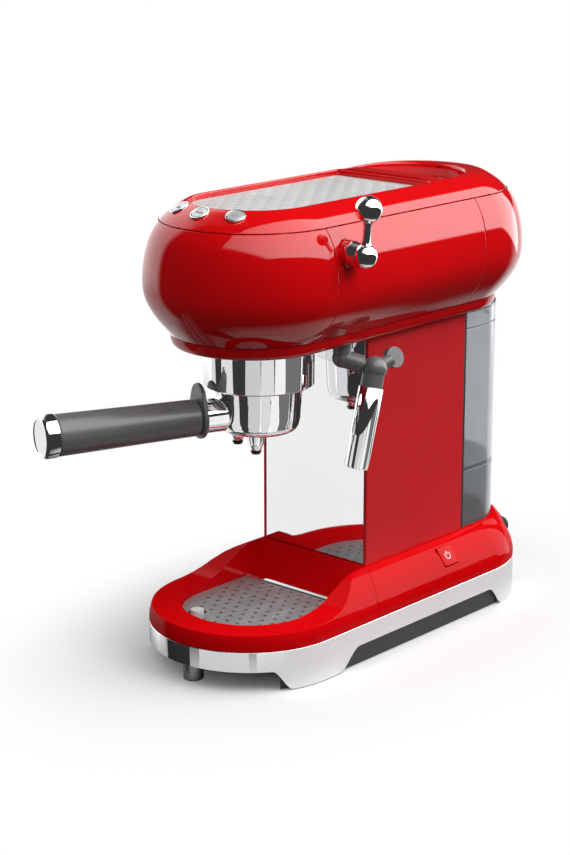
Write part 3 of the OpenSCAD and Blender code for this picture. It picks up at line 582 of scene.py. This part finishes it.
cut(pn, [
    extrude2("t1", [circle2(0, -86, 34.2, 96)], 215, 229, RED),
    extrude2("t2", [[(-40, -20), (40, -20), (40, 74), (-40, 74)]], 215, 229, RED),
    extrude2("t3", [dee2(24, 87, 97, 2)], 215, 229, RED),
    extrude2("t4", [circle2(45, -52, 6.6, 48)], 215, 229, RED)])
shade(pn, 40)
finish(pn, "root", "head_bottom_pan")

# crown with the cup warmer recess, filling well and button holes
CROWN = [[61.8, 307.2], [58.8, 310.2], [54, 313.8], [49, 316.8], [44.6, 318.9], [38, 319.8], [30, 320.2], [14, 320.38], [0.05, 320.4]]
cp = relax(spline(CROWN, 80), 12)
co_ = edge_soft(cp, 0.45, (True, False))
ci = np.array([(59.3, 307.2), (56.6, 309.4), (52.4, 312.4), (47.6, 315.0), (44.4, 316.2), (0.05, 316.2)])
tc = shell("crown", path_loop(YF, YR), co_, ci, RED, None, closed=True)


def slotted(r, yf, y1, rc=3.0, n=72):
    c = [(r * math.cos(-math.pi * i / n), yf + r * math.sin(-math.pi * i / n)) for i in range(n + 1)]
    c = c + [(-r, y1), (r, y1)]
    return fillet(c, [0] * (n + 1) + [rc, rc], 6)


def flared(fn, r, y, zs, up=1.0):
    """stacked outlines for a cutter whose mouth opens by the offsets d listed in zs; up is not used"""
    out = []
    for z, d in zs:
        out.append((fn(r + d, y, d), z))
    return out


top = 319.0
Z_FL = [(300.0, 0.0), (top - 1.1, 0.0), (top - 0.75, 0.08), (top - 0.4, 0.3), (top - 0.1, 0.7), (top + 0.05, 1.15), (top + 4, 1.6)]
rec = tool("rec", [(slotted(42.4 + d, YF, 44.9 + d, 3.0 + d), z) for z, d in Z_FL])
Z_W = [(300.0, 0.0), (top - 1.1, 0.0), (top - 0.6, 0.12), (top - 0.1, 0.4), (top + 0.3, 0.8), (top + 0.75, 1.4), (top + 4, 1.9)]
well = tool("well", [(dee2(41.5 + d, 60.5 - d, 70, 4.0 + d), z) for z, d in Z_W])
cutters = [rec, well]
BUT = []
for k in (-1, 0, 1):
    Mk = (Matrix.Translation((0, YF * MM, 0)) @ Matrix.Rotation(math.radians(30 * k), 4, "Z")
          @ Matrix.Translation((0, -50 * MM, 316.6 * MM)) @ Matrix.Rotation(math.radians(25), 4, "X"))
    BUT.append(Mk)
    cutters.append(extrude2("bh%d" % k, [circle2(0, 0, 6.78, 64)], -9, 9, RED, M=Mk))
cut(tc, cutters)
shade(tc, 34)
finish(tc, "root", "head_top_cover")

# walls and ledge under the recess
ledge = extrude2("recess_wall", [slotted(44.5, YF, 46.9, 4), slotted(42.45, YF, 44.95, 3)[::-1]], 307.2, 316.4, RED)
finish(ledge, "root", slot="red_paint")
ledge2 = extrude2("recess_ledge", [slotted(42.4, YF, 44.8, 3), slotted(40.1, YF, 42.9, 3)[::-1]], 307.3, 314.1, RED)
finish(ledge2, "root", slot="red_paint")
wellw = extrude2("well_wall", [dee2(43.6, 58.6, 70, 5), dee2(41.55, 60.6, 70, 4)[::-1]], 307.2, 316.4, RED)
finish(wellw, "root", slot="red_paint")


# perforated, embossed cup warmer plate
def plate_points(pitch, gap, w, y0, y1, ok):
    out = []
    for j in range(int((y1 - y0) / gap) + 1):
        for i in range(-int(w / pitch) - 1, int(w / pitch) + 2):
            x, y = i * pitch + (j % 2) * pitch / 2, y0 + j * gap
            if ok(x, y):
                out.append((x, y))
    return out


def emboss_plate(name, outline, holes, bumps, z0, z1, hole_r, bump_r, bump_h, mat, body, *nodes, step=1.0, dish=0.35):
    """a sheet whose top rises in round bumps and falls into dished holes"""
    bm = bmesh.new()
    es = []
    vs = [bm.verts.new((x, y, 0)) for x, y in outline]
    es += [bm.edges.new((vs[i], vs[(i + 1) % len(vs)])) for i in range(len(vs))]
    for hx, hy in holes:
        hv = [bm.verts.new((hx + hole_r * math.cos(a), hy + hole_r * math.sin(a), 0)) for a in np.linspace(0, 2 * math.pi, 17)[:-1]]
        es += [bm.edges.new((hv[i], hv[(i + 1) % 16])) for i in range(16)]
    bmesh.ops.triangle_fill(bm, edges=es, use_beauty=True, use_dissolve=False)
    for _ in range(3):
        long = [e for e in bm.edges if not e.is_boundary and e.calc_length() > step * 2.1]
        if not long:
            break
        bmesh.ops.subdivide_edges(bm, edges=long, cuts=1)
        bmesh.ops.triangulate(bm, faces=bm.faces[:])
        bmesh.ops.beautify_fill(bm, faces=bm.faces[:], edges=[e for e in bm.edges if not e.is_boundary])
    top_ = {}
    B = np.array(bumps) if bumps else np.zeros((0, 2))
    H = np.array(holes) if holes else np.zeros((0, 2))
    V, Fc = [], []
    bm.verts.index_update()
    n = len(bm.verts)
    for v in bm.verts:
        h = 0.0
        if len(B):
            d = np.min(np.hypot(B[:, 0] - v.co.x, B[:, 1] - v.co.y))
            if d < bump_r:
                h += bump_h * (0.5 + 0.5 * math.cos(math.pi * d / bump_r))
        if len(H):
            d = np.min(np.hypot(H[:, 0] - v.co.x, H[:, 1] - v.co.y)) - hole_r
            if d < 0.9:
                h -= dish * (1 - d / 0.9) ** 2
        V.append((v.co.x * MM, v.co.y * MM, (z1 + h) * MM))
    for v in bm.verts:
        V.append((v.co.x * MM, v.co.y * MM, z0 * MM))
    for f in bm.faces:
        q = [v.index for v in f.verts]
        Fc.append(tuple(q)); Fc.append(tuple(i + n for i in reversed(q)))
    for e in bm.edges:
        if e.is_boundary:
            a, b = e.verts[0].index, e.verts[1].index
            Fc.append((a, b, b + n, a + n))
    bm.free()
    return put(name, V, Fc, mat, body, *nodes, sharp=50)


def in_warmer(x, y, m=5.0):
    r = 42.2 - m
    if y > 44.7 - m:
        return False
    return abs(x) <= r and (y > YF or math.hypot(x, y - YF) <= r)


wh = plate_points(12.0, 8.0, 44, YF - 34, 40, in_warmer)
wb = [(x + 6.0, y) for x, y in plate_points(12.0, 8.0, 44, YF - 34, 40, lambda x, y: True)]
wb = [b for b in wb if in_warmer(b[0], b[1], 3.4)]
emboss_plate("warmer_plate", slotted(42.2, YF, 44.7, 2.8, 60), wh, wb, 314.3, 315.0, 1.5, 3.4, 1.15, WARM, "root", "cup_warmer_plate", step=1.1, dish=0.6)

# filling flap: frosted lid with a rolled edge
fl = extrude2("fill_flap_v", [dee2(40.6, 62.7, 70, 3.5)], 307.7, 309.9, FROST, bev=0.6, seg=3)
pins = lathe("flap_pins", fillet([(0, -42.9), (1.2, -42.9), (1.2, 42.9), (0, 42.9)], [0, 0.3, 0.3, 0], 3), FROST, None,
             frame_m=Matrix.Rotation(math.pi / 2, 4, "Y"), origin=(0, 62.6, 308.8), n=24)
finish(fl, "flap", "fill_flap")
finish(pins, "flap", slot="clear_plastic")

# buttons, bezels, icons
for k, Mk in zip((-1, 0, 1), BUT):
    nm = {-1: "left", 0: "middle", 1: "right"}[k]
    Mmm = Matrix(Mk); Mmm.translation = Mk.translation / MM
    bez = fillet([(5.72, -2.5), (6.66, -2.5), (6.66, 0.45), (5.72, 0.45)], 0.25, 3)
    b = lathe("bezel_" + nm, bez, CHROME, None, frame_m=Mmm, n=64)
    if k == 0:
        finish(b, "root", "button_bezels")
    else:
        finish(b, "root", slot="chrome")
    cap_ = [(0, -3), (5.3, -3), (5.4, -2.6), (5.4, 0.1), (5.2, 0.42), (4.8, 0.56), (3.6, 0.36), (1.8, 0.24), (0, 0.2)]
    c = lathe("button_cap_" + nm, cap_, BUTTON, None, frame_m=Mmm, n=64)
    st = lathe("button_stem_" + nm, fillet([(0, -7.4), (1.9, -7.4), (1.9, -2.9), (0, -2.9)], [0, 0.3, 0, 0], 3), BUTTON, None, frame_m=Mmm, n=32)
    finish(c, "button_" + nm[0], "button_" + nm)
    finish(st, "button_" + nm[0], slot="button_metal")
    # generic cup outlines: one cup, two cups, steam
    icons = []
    def ring(cx, cy, r0, r1, a0, a1, n=16):
        A = [(cx + r1 * math.cos(t), cy + r1 * math.sin(t)) for t in np.linspace(a0, a1, n)]
        Bq = [(cx + r0 * math.cos(t), cy + r0 * math.sin(t)) for t in np.linspace(a1, a0, n)]
        return A + Bq
    def cup(cx, s):
        body_ = [(cx - s, 0.5 * s), (cx + s, 0.5 * s), (cx + 0.7 * s, -0.9 * s), (cx - 0.7 * s, -0.9 * s)]
        icons.append(fillet(body_, 0.3 * s, 3))
        icons.append(ring(cx + 1.05 * s, -0.1 * s, 0.3 * s, 0.5 * s, -1.3, 1.3))
    if k == -1:
        cup(-0.2, 1.7)
    elif k == 0:
        cup(-1.7, 1.15); cup(1.4, 1.15)
    else:
        for sx in (-1.5, 0.0, 1.5):
            w = [(sx + 0.35 * math.sin(t * 2.2), -1.8 + t) for t in np.linspace(0, 3.6, 14)]
            icons.append([(x - 0.22, y) for x, y in w] + [(x + 0.22, y) for x, y in reversed(w)])
    for q, lp in enumerate(icons):
        ic = extrude2("icon_%s_%d" % (nm, q), [lp], 0.22, 0.52, ICON, M=Mk)
        finish(ic, "button_" + nm[0], slot="black_plastic")

# ------------------------------------------------------------------- base
DS = [[70, 29], [69.9, 33], [68.8, 38.2], [66.8, 43], [63.6, 48], [59.4, 52.6], [54.2, 56.2], [49.6, 58.2], [46, 58.6]]
DB = [[60, 29], [59.8, 36], [58.6, 44], [55.4, 52], [51, 57.4], [47.4, 58.6]]
from_cad("chrome_plinth", CHROME, 0.45, 3)
from_cad("bottom_pan", DARK, 0.3)
from_cad("front_foot", FOOTM, 1.2, 4)
from_cad("deck_housing", REDB, 0.7, 3)
from_cad("drip_tray", REDB, 0.9, 3)
from_cad("column_housing", REDP, 1.0, 3)
from_cad("mirror_panel", MIRROR, 0.3, 2)

# drip grille
def in_grille(x, y, m=0.0):
    return abs(x) <= 40.5 and (y > -95 or math.hypot(x, y + 95) <= 40.5) and y < -50


gh = plate_points(9.0, 7.83, 44, -131, -52, in_grille)
gh = [h for h in gh if math.hypot(h[0] + 22, h[1] + 125) > 9.5]
gout = [(47.4, -45.9)] + [(47.4 * math.cos(-math.pi * i / 72), -95 + 47.4 * math.sin(-math.pi * i / 72)) for i in range(73)] + [(-47.4, -45.9)]
loops = [gout] + [circle2(x, y, 1.5, 16)[::-1] for x, y in gh] + [circle2(-22, -125, 6.6, 40)[::-1]]
gr = extrude2("grille_sheet", loops, 33.1, 34.5, STEEL, bev=0.0)
finish(gr, "grille", "drip_grille")
lip = fillet([(-49.6, 34.4), (-48.4, 35.5), (-46.6, 36.4), (-44.4, 36.4), (-44.3, 33.2), (-46.0, 33.2), (-46.2, 34.4)], [0.2, 1, 1.2, 0.8, 0.3, 0.3, 0.3], 4)
V = [(x * MM, y * MM, z * MM) for x in (-47.2, 47.2) for y, z in lip]
m_ = len(lip)
Fc = [(k, (k + 1) % m_, m_ + (k + 1) % m_, m_ + k) for k in range(m_)] + [tuple(range(m_))[::-1], tuple(range(m_, 2 * m_))]
lp_ = put("grille_lip", V, Fc, CHROME, None, sharp=40)
finish(lp_, "grille", slot="steel")

# ------------------------------------------------------- group, portafilter
GY = -86.0
lathe("collar", fillet([(33.7, 193.6), (37.2, 193.6), (38.2, 194.6), (38.2, 222.2), (33.7, 222.2)], [0.3, 0.6, 0.6, 0.3, 0.3], 5), CHROME, "root", "group_collar", origin=(0, GY, 0), n=128)
for n_, b_, s_ in (("portafilter_body", 0.4, 3), ("spout_body", 0.6, 3), ("handle_neck", 0.5, 3), ("thumb_guard", 0.9, 4)):
    from_cad(n_, CHROME if n_ != "thumb_guard" else GREY, b_, s_)
HM = (Matrix.Translation((0, GY, 175.0)) @ Matrix.Rotation(math.radians(-22), 4, "Z") @ Matrix.Rotation(math.pi / 2, 4, "X"))
gp = fillet([(5.06, 45.8), (11.6, 45.8), (12.5, 47.0), (12.9, 80), (13.6, 120), (14, 145.6), (13.4, 146.6), (5.06, 146.6)], [0.2, 0.5, 0.8, 20, 20, 0.6, 0.5, 0.2], 6)
lathe("grip", gp, GREY, "portafilter", "handle_grip", frame_m=HM, n=96)
cp_ = [(0, 146.85), (14.1, 146.85), (14.6, 147.3), (14.6, 154.3), (14.3, 155.5), (13.4, 156.4), (12.4, 156.75), (11.9, 156.6), (11.5, 156.2), (9, 156.1), (0, 156.0)]
lathe("grip_cap", cp_, CHROME, "portafilter", "handle_cap", frame_m=HM, n=96)

# ------------------------------------------------------------ steam lever
LM = Matrix.Translation((0, LY, LZ)) @ Matrix.Rotation(math.pi / 2, 4, "Y")
lathe("lever_socket_v", fillet([(6.95, 64), (9.1, 64), (9.1, 74.1), (8.5, 74.8), (7.4, 74.8), (6.95, 74.2)], [0.2, 0.2, 0.5, 0.3, 0.3, 0.3], 4), RED, "root", "lever_socket", frame_m=LM, n=72)
bar = [(0, 34.1), (3.7, 34.1), (4, 34.5), (4, 69.5), (6.1, 69.5), (6.5, 69.9), (6.5, 75.3), (8.5, 75.3), (8.85, 75.5), (8.9, 75.9), (8.75, 77.2), (7.75, 82.6), (7.7, 83.2)]
ball = [(8.16 * math.sin(t), 85 - 8.16 * math.cos(t)) for t in np.linspace(1.32, math.pi, 28)]
lv = lathe("lever_bar", bar + ball[:-1] + [(0, 93.16)], CHROME, None, frame_m=LM, n=72, sharp=60)
SM = rod_m((85, LY, LZ), (86, LY + 2, LZ + 30))
L_ = (Vector((86, LY + 2, LZ + 30)) - Vector((85, LY, LZ))).length
stem = [(0, 4.0), (4.0, 6.2), (3.3, 8.4), (2.75, 9.8), (2.65, 14), (2.65, L_ - 10.4), (3.0, L_ - 9.2), (3.5, L_ - 8.3)]
b2 = [(8.9 * math.sin(t), L_ - 8.9 * math.cos(t)) for t in np.linspace(0.42, math.pi, 40)]
kn = lathe("lever_knob", stem + b2[:-1] + [(0, L_ + 8.9)], CHROME, None, frame_m=SM, n=72, sharp=60)
finish(lv, "lever", "steam_lever")
finish(kn, "lever", slot="chrome")

# --------------------------------------------------------------- the wand
for n_, mt, b_, s_ in (("wand_mount", GREY, 0.3, 2), ("wand_arm", GREY, 0.5, 3), ("wand_elbow", GREY, 0.9, 4), ("wand_pipe", STEELP, 0.25, 2)):
    from_cad(n_, mt, b_, s_)
EP, WT = Vector((62, -38, 205)), Vector((60.5, -55, 138.6))
wd = (WT - EP).normalized()
WM = rod_m(EP, EP + wd * 10)
slv = [(3.62, 12.8), (8.0, 12.8), (8.46, 13.3), (8.46, 67.6), (8.0, 68.4), (6.5, 68.4), (6.02, 67.9), (6.02, 41.8), (3.62, 41.8)]
lathe("sleeve_v", slv, CHROME, "sleeve", "frother_sleeve", frame_m=WM, n=72, sharp=45)

# ------------------------------------------------------------- water tank
for n_, mt, b_ in (("tank_body", SMOKE, 0.5), ("tank_foot", SMOKE2, 0.5), ("tank_lid", SMOKE, 0.6)):
    from_cad(n_, mt, b_, 3)

# ---------------------------------------------------------- power switch
PM = Matrix.Translation((0.0618, 0.0475, 0.0503)) @ Matrix.Rotation(math.radians(52), 4, "Y")
rk = extrude2("rocker", [fillet([(-7.3, -7.5), (7.3, -7.5), (7.3, 7.5), (-7.3, 7.5)], 1.2, 5)], -4, 0.38, REDS, M=PM, bev=0.35, seg=3)
finish(rk, "switch", "power_switch")
stk = extrude2("rocker_stem", [fillet([(-3, -3), (3, -3), (3, 3), (-3, 3)], 0.4, 3)], -8, -3.9, REDS, M=PM, bev=0.2)
finish(stk, "switch", slot="red_plastic")
n = 28
arc = [(2.9 * math.cos(t), 2.9 * math.sin(t)) for t in np.linspace(math.radians(215), math.radians(505), n)]
arc_i = [(2.25 * math.cos(t), 2.25 * math.sin(t)) for t in np.linspace(math.radians(505), math.radians(215), n)]
i1 = extrude2("icon_power_ring", [arc + arc_i], 0.36, 0.42, ICONW, M=PM)
i2 = extrude2("icon_power_bar", [[(-3.6, -0.33), (-0.6, -0.33), (-0.6, 0.33), (-3.6, 0.33)]], 0.36, 0.42, ICONW, M=PM)
for q in (i1, i2):
    finish(q, "switch", slot="white_plastic")

# -------------------------------------------- finishes of the other nodes
replaced = {n for o in bpy.data.objects for n in o.get("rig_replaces", [])}
for nm, ob in NODE.items():
    if nm not in replaced:
        for sl in ob.material_slots:
            sl.material = CAD_MAT.get(nm, DARK)
        if not ob.material_slots:
            ob.data.materials.append(CAD_MAT.get(nm, DARK))

# ------------------------------------------------------------------ stage
def plane(name, x0, x1, y0, y1, z, mat):
    me = bpy.data.meshes.new(name)
    me.from_pydata([(x0, y0, z), (x1, y0, z), (x1, y1, z), (x0, y1, z)], [], [(0, 1, 2, 3)])
    ob = bpy.data.objects.new(name, me)
    COL.objects.link(ob)
    me.materials.append(mat)
    return ob


fm, fnt, fp = new_mat("floor_white")
noise_bump(fnt, fp, 40.0, 0.02, 0.0005)
fp.inputs["Base Color"].default_value = (0.93, 0.93, 0.93, 1)
fp.inputs["Roughness"].default_value = 0.7
fp.inputs["Specular IOR Level"].default_value = 0.1
floor = plane("floor", -0.9, 0.9, -0.9, 0.9, 0, fm)
floor.visible_glossy = False
floor.visible_diffuse = False
# away from the machine the floor is simply white, so that it meets the background without a line
fp.inputs["Base Color"].default_value = (0.80, 0.80, 0.80, 1)
tcm = node(fnt, "ShaderNodeTexCoord")
mpm = node(fnt, "ShaderNodeMapping")
mpm.inputs["Scale"].default_value = (1.5, 0.95, 1.0)
lnm = node(fnt, "ShaderNodeVectorMath", operation="LENGTH")
mrm = node(fnt, "ShaderNodeMapRange", interpolation_type="SMOOTHSTEP")
mrm.inputs["From Min"].default_value = 0.10
mrm.inputs["From Max"].default_value = 0.31
emm = node(fnt, "ShaderNodeEmission")
emm.inputs["Strength"].default_value = 1.0
mxm = node(fnt, "ShaderNodeMixShader")
outm = fnt.nodes["Material Output"]
fnt.links.new(tcm.outputs["Object"], mpm.inputs["Vector"])
fnt.links.new(mpm.outputs["Vector"], lnm.inputs[0])
fnt.links.new(lnm.outputs["Value"], mrm.inputs["Value"])
fnt.links.new(mrm.outputs["Result"], mxm.inputs[0])
fnt.links.new(fp.outputs[0], mxm.inputs[1])
fnt.links.new(emm.outputs[0], mxm.inputs[2])
fnt.links.new(mxm.outputs[0], outm.inputs["Surface"])
# what the table sends back up as soft light
fbm, fbt, fbp = new_mat("floor_bounce")
fbp.inputs["Base Color"].default_value = (0.22, 0.22, 0.22, 1)
fbp.inputs["Roughness"].default_value = 0.9
fbp.inputs["Specular IOR Level"].default_value = 0.0
bounce = plane("floor_bounce", -0.9, 0.9, -0.9, 0.9, -0.0004, fbm)
bounce.visible_camera = bounce.visible_glossy = bounce.visible_shadow = bounce.visible_transmission = False

# the part of the table that gloss mirrors: bright near the machine, falling off outwards
gm, gnt, gp = new_mat("floor_near")
tc_ = node(gnt, "ShaderNodeTexCoord")
mp_ = node(gnt, "ShaderNodeMapping")
mp_.inputs["Location"].default_value = (-0.02, -0.02, 0)
mp_.inputs["Scale"].default_value = (1.15, 0.86, 1.0)
ln = node(gnt, "ShaderNodeVectorMath", operation="LENGTH")
cr_ = node(gnt, "ShaderNodeMapRange", interpolation_type="SMOOTHSTEP")
cr_.inputs["From Min"].default_value = 0.165
cr_.inputs["From Max"].default_value = 0.255
gnt.links.new(tc_.outputs["Object"], mp_.inputs["Vector"])
gnt.links.new(mp_.outputs["Vector"], ln.inputs[0])
gnt.links.new(ln.outputs["Value"], cr_.inputs["Value"])
gp.inputs["Base Color"].default_value = (0.60, 0.60, 0.60, 1)
gtr = node(gnt, "ShaderNodeBsdfTransparent")
gmx = node(gnt, "ShaderNodeMixShader")
gnt.links.new(cr_.outputs["Result"], gmx.inputs[0])
gnt.links.new(gp.outputs[0], gmx.inputs[1])
gnt.links.new(gtr.outputs[0], gmx.inputs[2])
gnt.links.new(gmx.outputs[0], gnt.nodes["Material Output"].inputs["Surface"])
gp.inputs["Roughness"].default_value = 0.8
gp.inputs["Specular IOR Level"].default_value = 0.0
me_ = bpy.data.meshes.new("floor_gloss")
me_.from_pydata([(0.33 * math.cos(t), 0.33 * math.sin(t), 0.0003) for t in np.linspace(0, 2 * math.pi, 97)[:-1]], [], [tuple(range(96))])
near = bpy.data.objects.new("floor_gloss", me_)
COL.objects.link(near)
me_.materials.append(gm)
# a dark card beside the front of the base: the dark stripe in the chrome band
dkm, dkt, dkp = new_mat("dark_card")
dkp.inputs["Base Color"].default_value = (0.03, 0.03, 0.03, 1)
dkp.inputs["Roughness"].default_value = 0.9
dkp.inputs["Specular IOR Level"].default_value = 0.0
dm_ = bpy.data.meshes.new("dark_card")
dm_.from_pydata([(-0.018, -0.168, 0.0007), (0.006, -0.171, 0.0007), (-0.052, -0.268, 0.0007), (-0.125, -0.212, 0.0007)], [], [(0, 3, 2, 1)])
dark = bpy.data.objects.new("dark_card", dm_)
COL.objects.link(dark)
dm_.materials.append(dkm)
dark.visible_camera = dark.visible_diffuse = dark.visible_shadow = dark.visible_transmission = False
near.visible_camera = near.visible_diffuse = near.visible_shadow = near.visible_transmission = False

# world: white behind for the camera; for gloss, the studio's softboxes as seen by direction
world = bpy.data.worlds.new("world")
SCN.world = world
world.use_nodes = True
wt = world.node_tree
bg = wt.nodes["Background"]
wtc = node(wt, "ShaderNodeTexCoord")
DIRV = wtc.outputs["Generated"]


def wdot(v):
    n_ = node(wt, "ShaderNodeVectorMath", operation="DOT_PRODUCT")
    wt.links.new(DIRV, n_.inputs[0])
    n_.inputs[1].default_value = v
    return n_.outputs["Value"]


def step(src, a_, b_, lo=0.0, hi=1.0, kind="SMOOTHSTEP"):
    n_ = node(wt, "ShaderNodeMapRange", interpolation_type=kind)
    n_.inputs["From Min"].default_value = a_
    n_.inputs["From Max"].default_value = b_
    n_.inputs["To Min"].default_value = lo
    n_.inputs["To Max"].default_value = hi
    wt.links.new(src, n_.inputs["Value"])
    return n_.outputs["Result"]


def wmath(op, a_, b_):
    n_ = node(wt, "ShaderNodeMath", operation=op)
    for i_, v_ in enumerate((a_, b_)):
        if isinstance(v_, (int, float)):
            n_.inputs[i_].default_value = v_
        else:
            wt.links.new(v_, n_.inputs[i_])
    return n_.outputs[0]


def prod(*v):
    r_ = v[0]
    for q_ in v[1:]:
        r_ = wmath("MULTIPLY", r_, q_)
    return r_


Z_ = wdot((0, 0, 1))
# the big softbox over the right side, cut off along its left and lower edges
main = prod(step(wdot((1.0, 0.03, 0)), -0.01, 0.03), step(wdot((-0.401, 0.213, 0.891)), -0.012, 0.018),
            step(wdot((-0.032, 0.669, 0.743)), -0.05, 0.07), step(wdot((0.866, 0.5, 0.0)), -0.5, 0.85, 1.2, 4.5, "LINEAR"))
# the white panel on the left
left = prod(step(wdot((-0.423, 0.906, 0)), -0.02, 0.16, 0.0, 1.7), step(wdot((-0.643, -0.766, 0)), 0.0, 0.05),
            step(Z_, 0.62, 0.88, 1.0, 0.1), step(Z_, -0.80, -0.62), step(Z_, -0.30, -0.05, 0.5, 1.0))
# the white background behind, low
rear = prod(step(wdot((-0.42, 0.9075, 0)), 0.70, 0.88, 0.0, 1.25), step(Z_, 0.03, 0.09, 1.0, 0.0))
gl = wmath("ADD", wmath("ADD", main, left), wmath("ADD", rear, 0.04))
lp = node(wt, "ShaderNodeLightPath")
m1 = node(wt, "ShaderNodeMix", data_type="FLOAT")
m2 = node(wt, "ShaderNodeMix", data_type="FLOAT")
m1.inputs[2].default_value = 0.20
wt.links.new(gl, m1.inputs[3])
m2.inputs[3].default_value = 1.0
wt.links.new(lp.outputs["Is Glossy Ray"], m1.inputs[0])
wt.links.new(m1.outputs[0], m2.inputs[2])
wt.links.new(lp.outputs["Is Camera Ray"], m2.inputs[0])
wt.links.new(m2.outputs[0], bg.inputs["Strength"])
bg.inputs["Color"].default_value = (1, 1, 1, 1)


def area(name, loc, target, size, size_y, radiance, glossy=False, diffuse=True, only=None):
    l = bpy.data.lights.new(name, "AREA")
    l.shape = "RECTANGLE"; l.size = size; l.size_y = size_y
    l.energy = radiance * math.pi * size * size_y
    o = bpy.data.objects.new(name, l)
    COL.objects.link(o)
    o.location = loc
    o.rotation_euler = (Vector(loc) - Vector(target)).to_track_quat("Z", "Y").to_euler()
    o.visible_camera = False
    o.visible_glossy = glossy
    o.visible_diffuse = diffuse
    o.visible_transmission = False
    if only:
        c_ = bpy.data.collections.new(name + "_lit")
        for q_ in only:
            if q_ in bpy.data.objects:
                c_.objects.link(bpy.data.objects[q_])
        o.light_linking.receiver_collection = c_
    return o


def polar(az, el, d, h=0.2, x=0.0, y=0.0):
    """az counter-clockwise from +X, in degrees"""
    a_, e_ = math.radians(az), math.radians(el)
    return (x + d * math.cos(a_) * math.cos(e_), y + d * math.sin(a_) * math.cos(e_), h + d * math.sin(e_))


area("soft_main", polar(30, 50, 1.9), (0.0, 0.0, 0.15), 2.4, 1.7, 4.0)
area("soft_left", polar(172, 14, 1.7, 0.15), (0, 0, 0.15), 1.7, 0.8, 1.7)
area("soft_front", polar(278, 52, 1.9), (0, 0, 0.15), 1.5, 1.2, 1.7)
# white cards round the table that only the chrome sees, with dark gaps between them
def cards(tag, only, spots, x, y, z, height, el=-14):
    for i_, (az_, w_, rad_) in enumerate(spots):
        area("%s_%d" % (tag, i_), polar(az_, el, 1.3, z, x, y), (x, y, z), 2 * 1.3 * math.tan(math.radians(w_ / 2)), height, rad_,
             glossy=True, diffuse=False, only=only)


CHR = ["collar", "portafilter_body_v", "spout_body_v", "handle_neck_v", "sleeve_v"]
cards("card", CHR, ((302, 30, 0.62), (331, 26, 0.75), (357, 22, 0.95), (54, 14, 0.85), (108, 28, 0.9), (247, 26, 0.78), (206, 22, 0.72), (26, 36, 0.14)), 0, -0.086, 0.19, 1.3, -20)
cards("band", ["chrome_plinth_v"], ((282, 50, 0.66), (330, 26, 0.90), (4, 40, 0.80), (48, 14, 0.6), (70, 22, 0.88), (172, 44, 0.66)), 0, 0, 0.03, 0.9)
area("card_mirror", polar(228, -15.6, 1.3, 0.14, 0, -0.028), (0, -0.028, 0.14), 1.0, 0.8, 0.92, glossy=True, diffuse=False, only=["mirror_panel_v"])

SCN.view_settings.view_transform = "Standard"
SCN.view_settings.look = "None"
SCN.view_settings.exposure = 0.0
SCN.view_settings.gamma = 1.0
